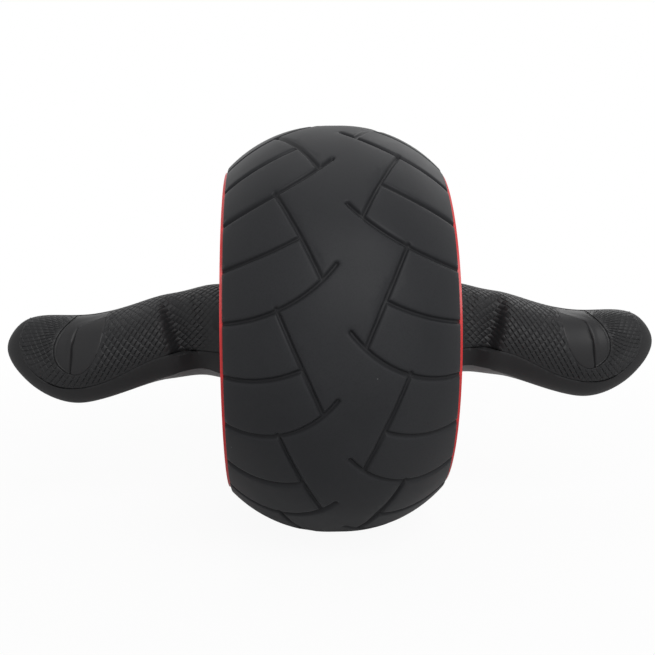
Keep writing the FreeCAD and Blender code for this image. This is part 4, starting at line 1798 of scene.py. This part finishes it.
@dataclass
class ScrewSet:
    """Equal screws of one CAD node, with their drive sunk into the heads, in metres."""

    node: str
    body: Body
    axis: Triple
    drive: Drive
    head_height: float
    shank_radius: float
    head_sides: int = 32
    shank_sides: int = 24
    top_share: float = 0.86
    drive_share: float = 0.55
    drive_depth_share: float = 0.6
    blade_share: float = 0.42
    sharp: float = 30.0

    def tree(self) -> NodeGroup:
        """Makes the geometry tree that puts one screw on each point.

        Returns:
            The tree, with the screw's sizes, its direction and its material as inputs.
        """
        group = NodeGroup(
            self.node + "_heads", "GeometryNodeTree",
            {"Geometry": "Geometry", "Head Radius": "Float", "Head Height": "Float", "Shank Radius": "Float",
             "Shank Length": "Float", "Drive Radius": "Float", "Drive Depth": "Float", "Axis": "Vector",
             "Material": "Material"},
            {"Geometry": "Geometry"},
        )
        entry = group.entry

        def times(size: Socket, factor: float) -> Socket:
            """A size times a plain factor."""
            return calculate(group.tree, "MULTIPLY", size, factor)

        def cylinder(sides: int, radius: Socket, depth: Socket) -> Socket:
            """An upright cylinder about the origin."""
            links = {"Vertices": sides, "Radius": radius, "Depth": depth}
            return group.add("GeometryNodeMeshCylinder", links).outputs[0]

        half_head = times(entry["Head Height"], 0.5)
        cone = group.add("GeometryNodeMeshCone", {
            "Vertices": self.head_sides, "Radius Top": times(entry["Head Radius"], self.top_share),
            "Radius Bottom": entry["Head Radius"], "Depth": half_head,
        })
        foot = cylinder(self.head_sides, entry["Head Radius"], half_head)
        shank = cylinder(self.shank_sides, entry["Shank Radius"], entry["Shank Length"])
        solid = group.add("GeometryNodeMeshBoolean", operation="UNION", solver="EXACT")
        for part, height in (
            (foot, times(half_head, 0.5)), (cone.outputs[0], half_head),
            (shank, times(entry["Shank Length"], -0.5)),
        ):
            group.tree.links.new(group.lift(part, height), solid.inputs[1])
        links = {0: solid.outputs[0]}
        cut = group.add("GeometryNodeMeshBoolean", links, operation="DIFFERENCE", solver="EXACT")
        twice = times(entry["Drive Depth"], 2.0)
        if self.drive is Drive.HEX:
            tools = [cylinder(6, entry["Drive Radius"], twice)]
        else:
            width, thin = (times(entry["Drive Radius"], share) for share in (2.0, self.blade_share))
            tools = []
            for x, y in ((width, thin), (thin, width)):
                size = group.add("ShaderNodeCombineXYZ", {"X": x, "Y": y, "Z": twice})
                tools.append(group.add("GeometryNodeMeshCube", {"Size": size.outputs[0]}).outputs[0])
        for tool in tools:
            group.tree.links.new(group.lift(tool, entry["Head Height"]), cut.inputs[1])
        turn = group.add("FunctionNodeAlignRotationToVector", {"Vector": entry["Axis"]}, axis="Z")
        group.put_out(group.copies(entry["Geometry"], cut.outputs[0], turn.outputs[0]))
        return group

    def build(self, shop: Workshop) -> None:
        """Builds the screws and hands them over.

        Args:
            shop: Materials and frame.
        """
        axis = Vector(self.axis)
        along = max(range(3), key=lambda i: abs(axis[i]))
        seats, length, radius = [], 0.0, 0.0
        for low, high in islands(self.node):
            seat = (low + high) / 2
            top = high[along] if axis[along] > 0 else low[along]
            seat[along] = top - axis[along] * self.head_height
            seats.append(seat)
            length = high[along] - low[along] - self.head_height
            radius = (high[along - 1] - low[along - 1]) / 2
        made = mesh_object(self.node + "_heads", np.array(seats), [])
        run_tree(made, self.tree(), {
            "Head Radius": radius, "Head Height": self.head_height, "Shank Radius": self.shank_radius,
            "Shank Length": length, "Drive Radius": radius * self.drive_share,
            "Drive Depth": self.head_height * self.drive_depth_share, "Axis": self.axis,
            "Material": shop.materials["fastener_steel"],
        })
        shade(made, self.sharp)
        shop.hand_over(made, self.body, "fastener_steel", self.node)


# Stage


@dataclass
class Studio:
    """Floor, lamps, background and the camera at the photo's viewing angle, in metres and degrees."""

    elevation: float = 10.0
    roll: float = 0.62
    yaw: float = 2.2345
    focal_pixels: float = 1015.8
    picture_pixels: float = 655.0
    distance: float = 0.4718
    aside: float = 0.00276
    below: float = 0.00051
    sensor: float = 36.0
    clip: Point = (0.01, 50.0)
    floor_half: float = 4.0
    floor_tone: Colour = (0.85, 0.85, 0.85)
    floor_glow: float = 0.94
    floor_shine: float = 0.08
    floor_near: float = 0.16
    floor_far: float = 0.55
    lamps: tuple[tuple[str, Triple, float, float], ...] = (
        ("front_softbox", (0.32, -1.05, 0.95), 0.9, 12.5),
        ("overhead_softbox", (0.0, 0.1, 1.4), 1.0, 3.0),
        ("rear_fill", (0.8, 1.2, 1.0), 0.9, 3.0),
    )
    ambient: float = 0.3

    def camera(self) -> None:
        """Makes the camera and sets it on the scene."""
        turn = (
            Matrix.Rotation(math.radians(self.yaw), 3, "Z")
            @ Matrix.Rotation(-math.radians(self.roll), 3, "Y")
            @ Matrix.Rotation(math.radians(self.elevation), 3, "X")
        )
        back = turn.transposed()
        place = Vector((0, 0, AXLE_HEIGHT)) - back @ Vector((self.aside, self.distance, -self.below))
        right, forward, up = (back @ Vector(axis) for axis in ((1, 0, 0), (0, 1, 0), (0, 0, 1)))
        lens = bpy.data.cameras.new("camera")
        lens.sensor_width = self.sensor
        lens.lens = self.focal_pixels / self.picture_pixels * self.sensor
        lens.clip_start, lens.clip_end = self.clip
        holder = bpy.data.objects.new("camera", lens)
        holder.matrix_world = Matrix.Translation(place) @ Matrix((right, up, -forward)).transposed().to_4x4()
        bpy.context.scene.collection.objects.link(holder)
        bpy.context.scene.camera = holder

    @staticmethod
    def seen(tree: Tree) -> Socket:
        """Masks the rays that show the background: camera, glossy and transmission.

        Args:
            tree: Node tree to add it to.

        Returns:
            The mask's socket.
        """
        path = add_node(tree, "ShaderNodeLightPath").outputs
        first = calculate(tree, "MAXIMUM", path["Is Camera Ray"], path["Is Glossy Ray"])
        return calculate(tree, "MAXIMUM", first, path["Is Transmission Ray"])

    def glow_share(self, tree: Tree) -> Socket:
        """Shares out the white on the floor: all far away, less near the object, least in reflections there.

        Args:
            tree: The floor's node tree.

        Returns:
            The share's socket.
        """
        place = add_node(tree, "ShaderNodeTexCoord").outputs["Object"]
        away = add_node(tree, "ShaderNodeVectorMath", {0: place}, operation="LENGTH").outputs["Value"]
        shown = add_node(tree, "ShaderNodeLightPath").outputs["Is Camera Ray"]
        near = map_range(tree, {"Value": shown, "To Min": self.floor_shine, "To Max": self.floor_glow})
        ramp = {"Value": away, "From Min": self.floor_near, "From Max": self.floor_far, "To Min": near}
        return map_range(tree, ramp, "SMOOTHSTEP")

    def floor(self) -> None:
        """Makes the pale floor, which keeps a faint shadow."""
        half = self.floor_half
        corners = np.array([(-half, -half, 0), (half, -half, 0), (half, half, 0), (-half, half, 0)])
        made = mesh_object("floor", corners, [(0, 1, 2, 3)])
        look = bpy.data.materials.new("pale_floor")
        tree = empty_tree(look)
        plain = add_node(tree, "ShaderNodeBsdfDiffuse", {"Color": (*self.floor_tone, 1.0)})
        glow = add_node(tree, "ShaderNodeEmission", {"Strength": 1.0})
        share = calculate(tree, "MULTIPLY", self.seen(tree), self.glow_share(tree))
        both = add_node(tree, "ShaderNodeMixShader", {0: share, 1: plain.outputs[0], 2: glow.outputs[0]})
        add_node(tree, "ShaderNodeOutputMaterial", {"Surface": both.outputs[0]})
        made.data.materials.append(look)

    def light(self) -> None:
        """Makes the lamps and the world."""
        target = Vector((0.0, 0.0, AXLE_HEIGHT))
        for name, place, size, power in self.lamps:
            lamp = bpy.data.lights.new(name, "AREA")
            lamp.shape, lamp.size, lamp.energy = "SQUARE", size, power
            holder = bpy.data.objects.new(name, lamp)
            aim = (target - Vector(place)).to_track_quat("-Z", "Y").to_matrix().to_4x4()
            holder.matrix_world = Matrix.Translation(place) @ aim
            bpy.context.scene.collection.objects.link(holder)
        world = bpy.data.worlds.new("studio")
        bpy.context.scene.world = world
        tree = empty_tree(world)
        soft, white = (
            add_node(tree, "ShaderNodeBackground", {"Color": WHITE, "Strength": strength}).outputs[0]
            for strength in (self.ambient, 1.0)
        )
        both = add_node(tree, "ShaderNodeMixShader", {0: self.seen(tree), 1: soft, 2: white})
        add_node(tree, "ShaderNodeOutputWorld", {"Surface": both.outputs[0]})

    def build(self) -> None:
        """Sets up the whole stage."""
        self.camera()
        self.floor()
        self.light()
        bpy.context.scene.view_settings.view_transform = "Standard"


def main() -> None:
    """Builds the classes in order."""
    logging.basicConfig(level=logging.INFO, format="%(message)s")
    Studio().build()
    shop = Workshop()
    shop.dress_nodes()
    Tyre().build(shop)
    skin = HandleSkin()
    inlay = ThumbInlay(skin)
    hole = inlay.outline()
    GripPad(skin).build(shop, hole)
    inlay.build(shop, hole)
    FrontShell(skin).build(shop)
    rearwards = (0.0, 1.0, 0.0)
    for side in Side:
        outwards = (float(side.value), 0.0, 0.0)
        for stem, body, axis, drive, head, shank in (
            ("cover_screws", Body.WHEEL, outwards, Drive.CROSS, 1.4, 1.5),
            ("handle_screws", Body.HANDLES, rearwards, Drive.CROSS, 2.2, 1.75),
            ("handle_bolt", Body.HANDLES, rearwards, Drive.HEX, 5.0, 3.0),
        ):
            ScrewSet(side.node(stem), body, axis, drive, head * MM, shank * MM).build(shop)


if __name__ == "__main__":
    main()
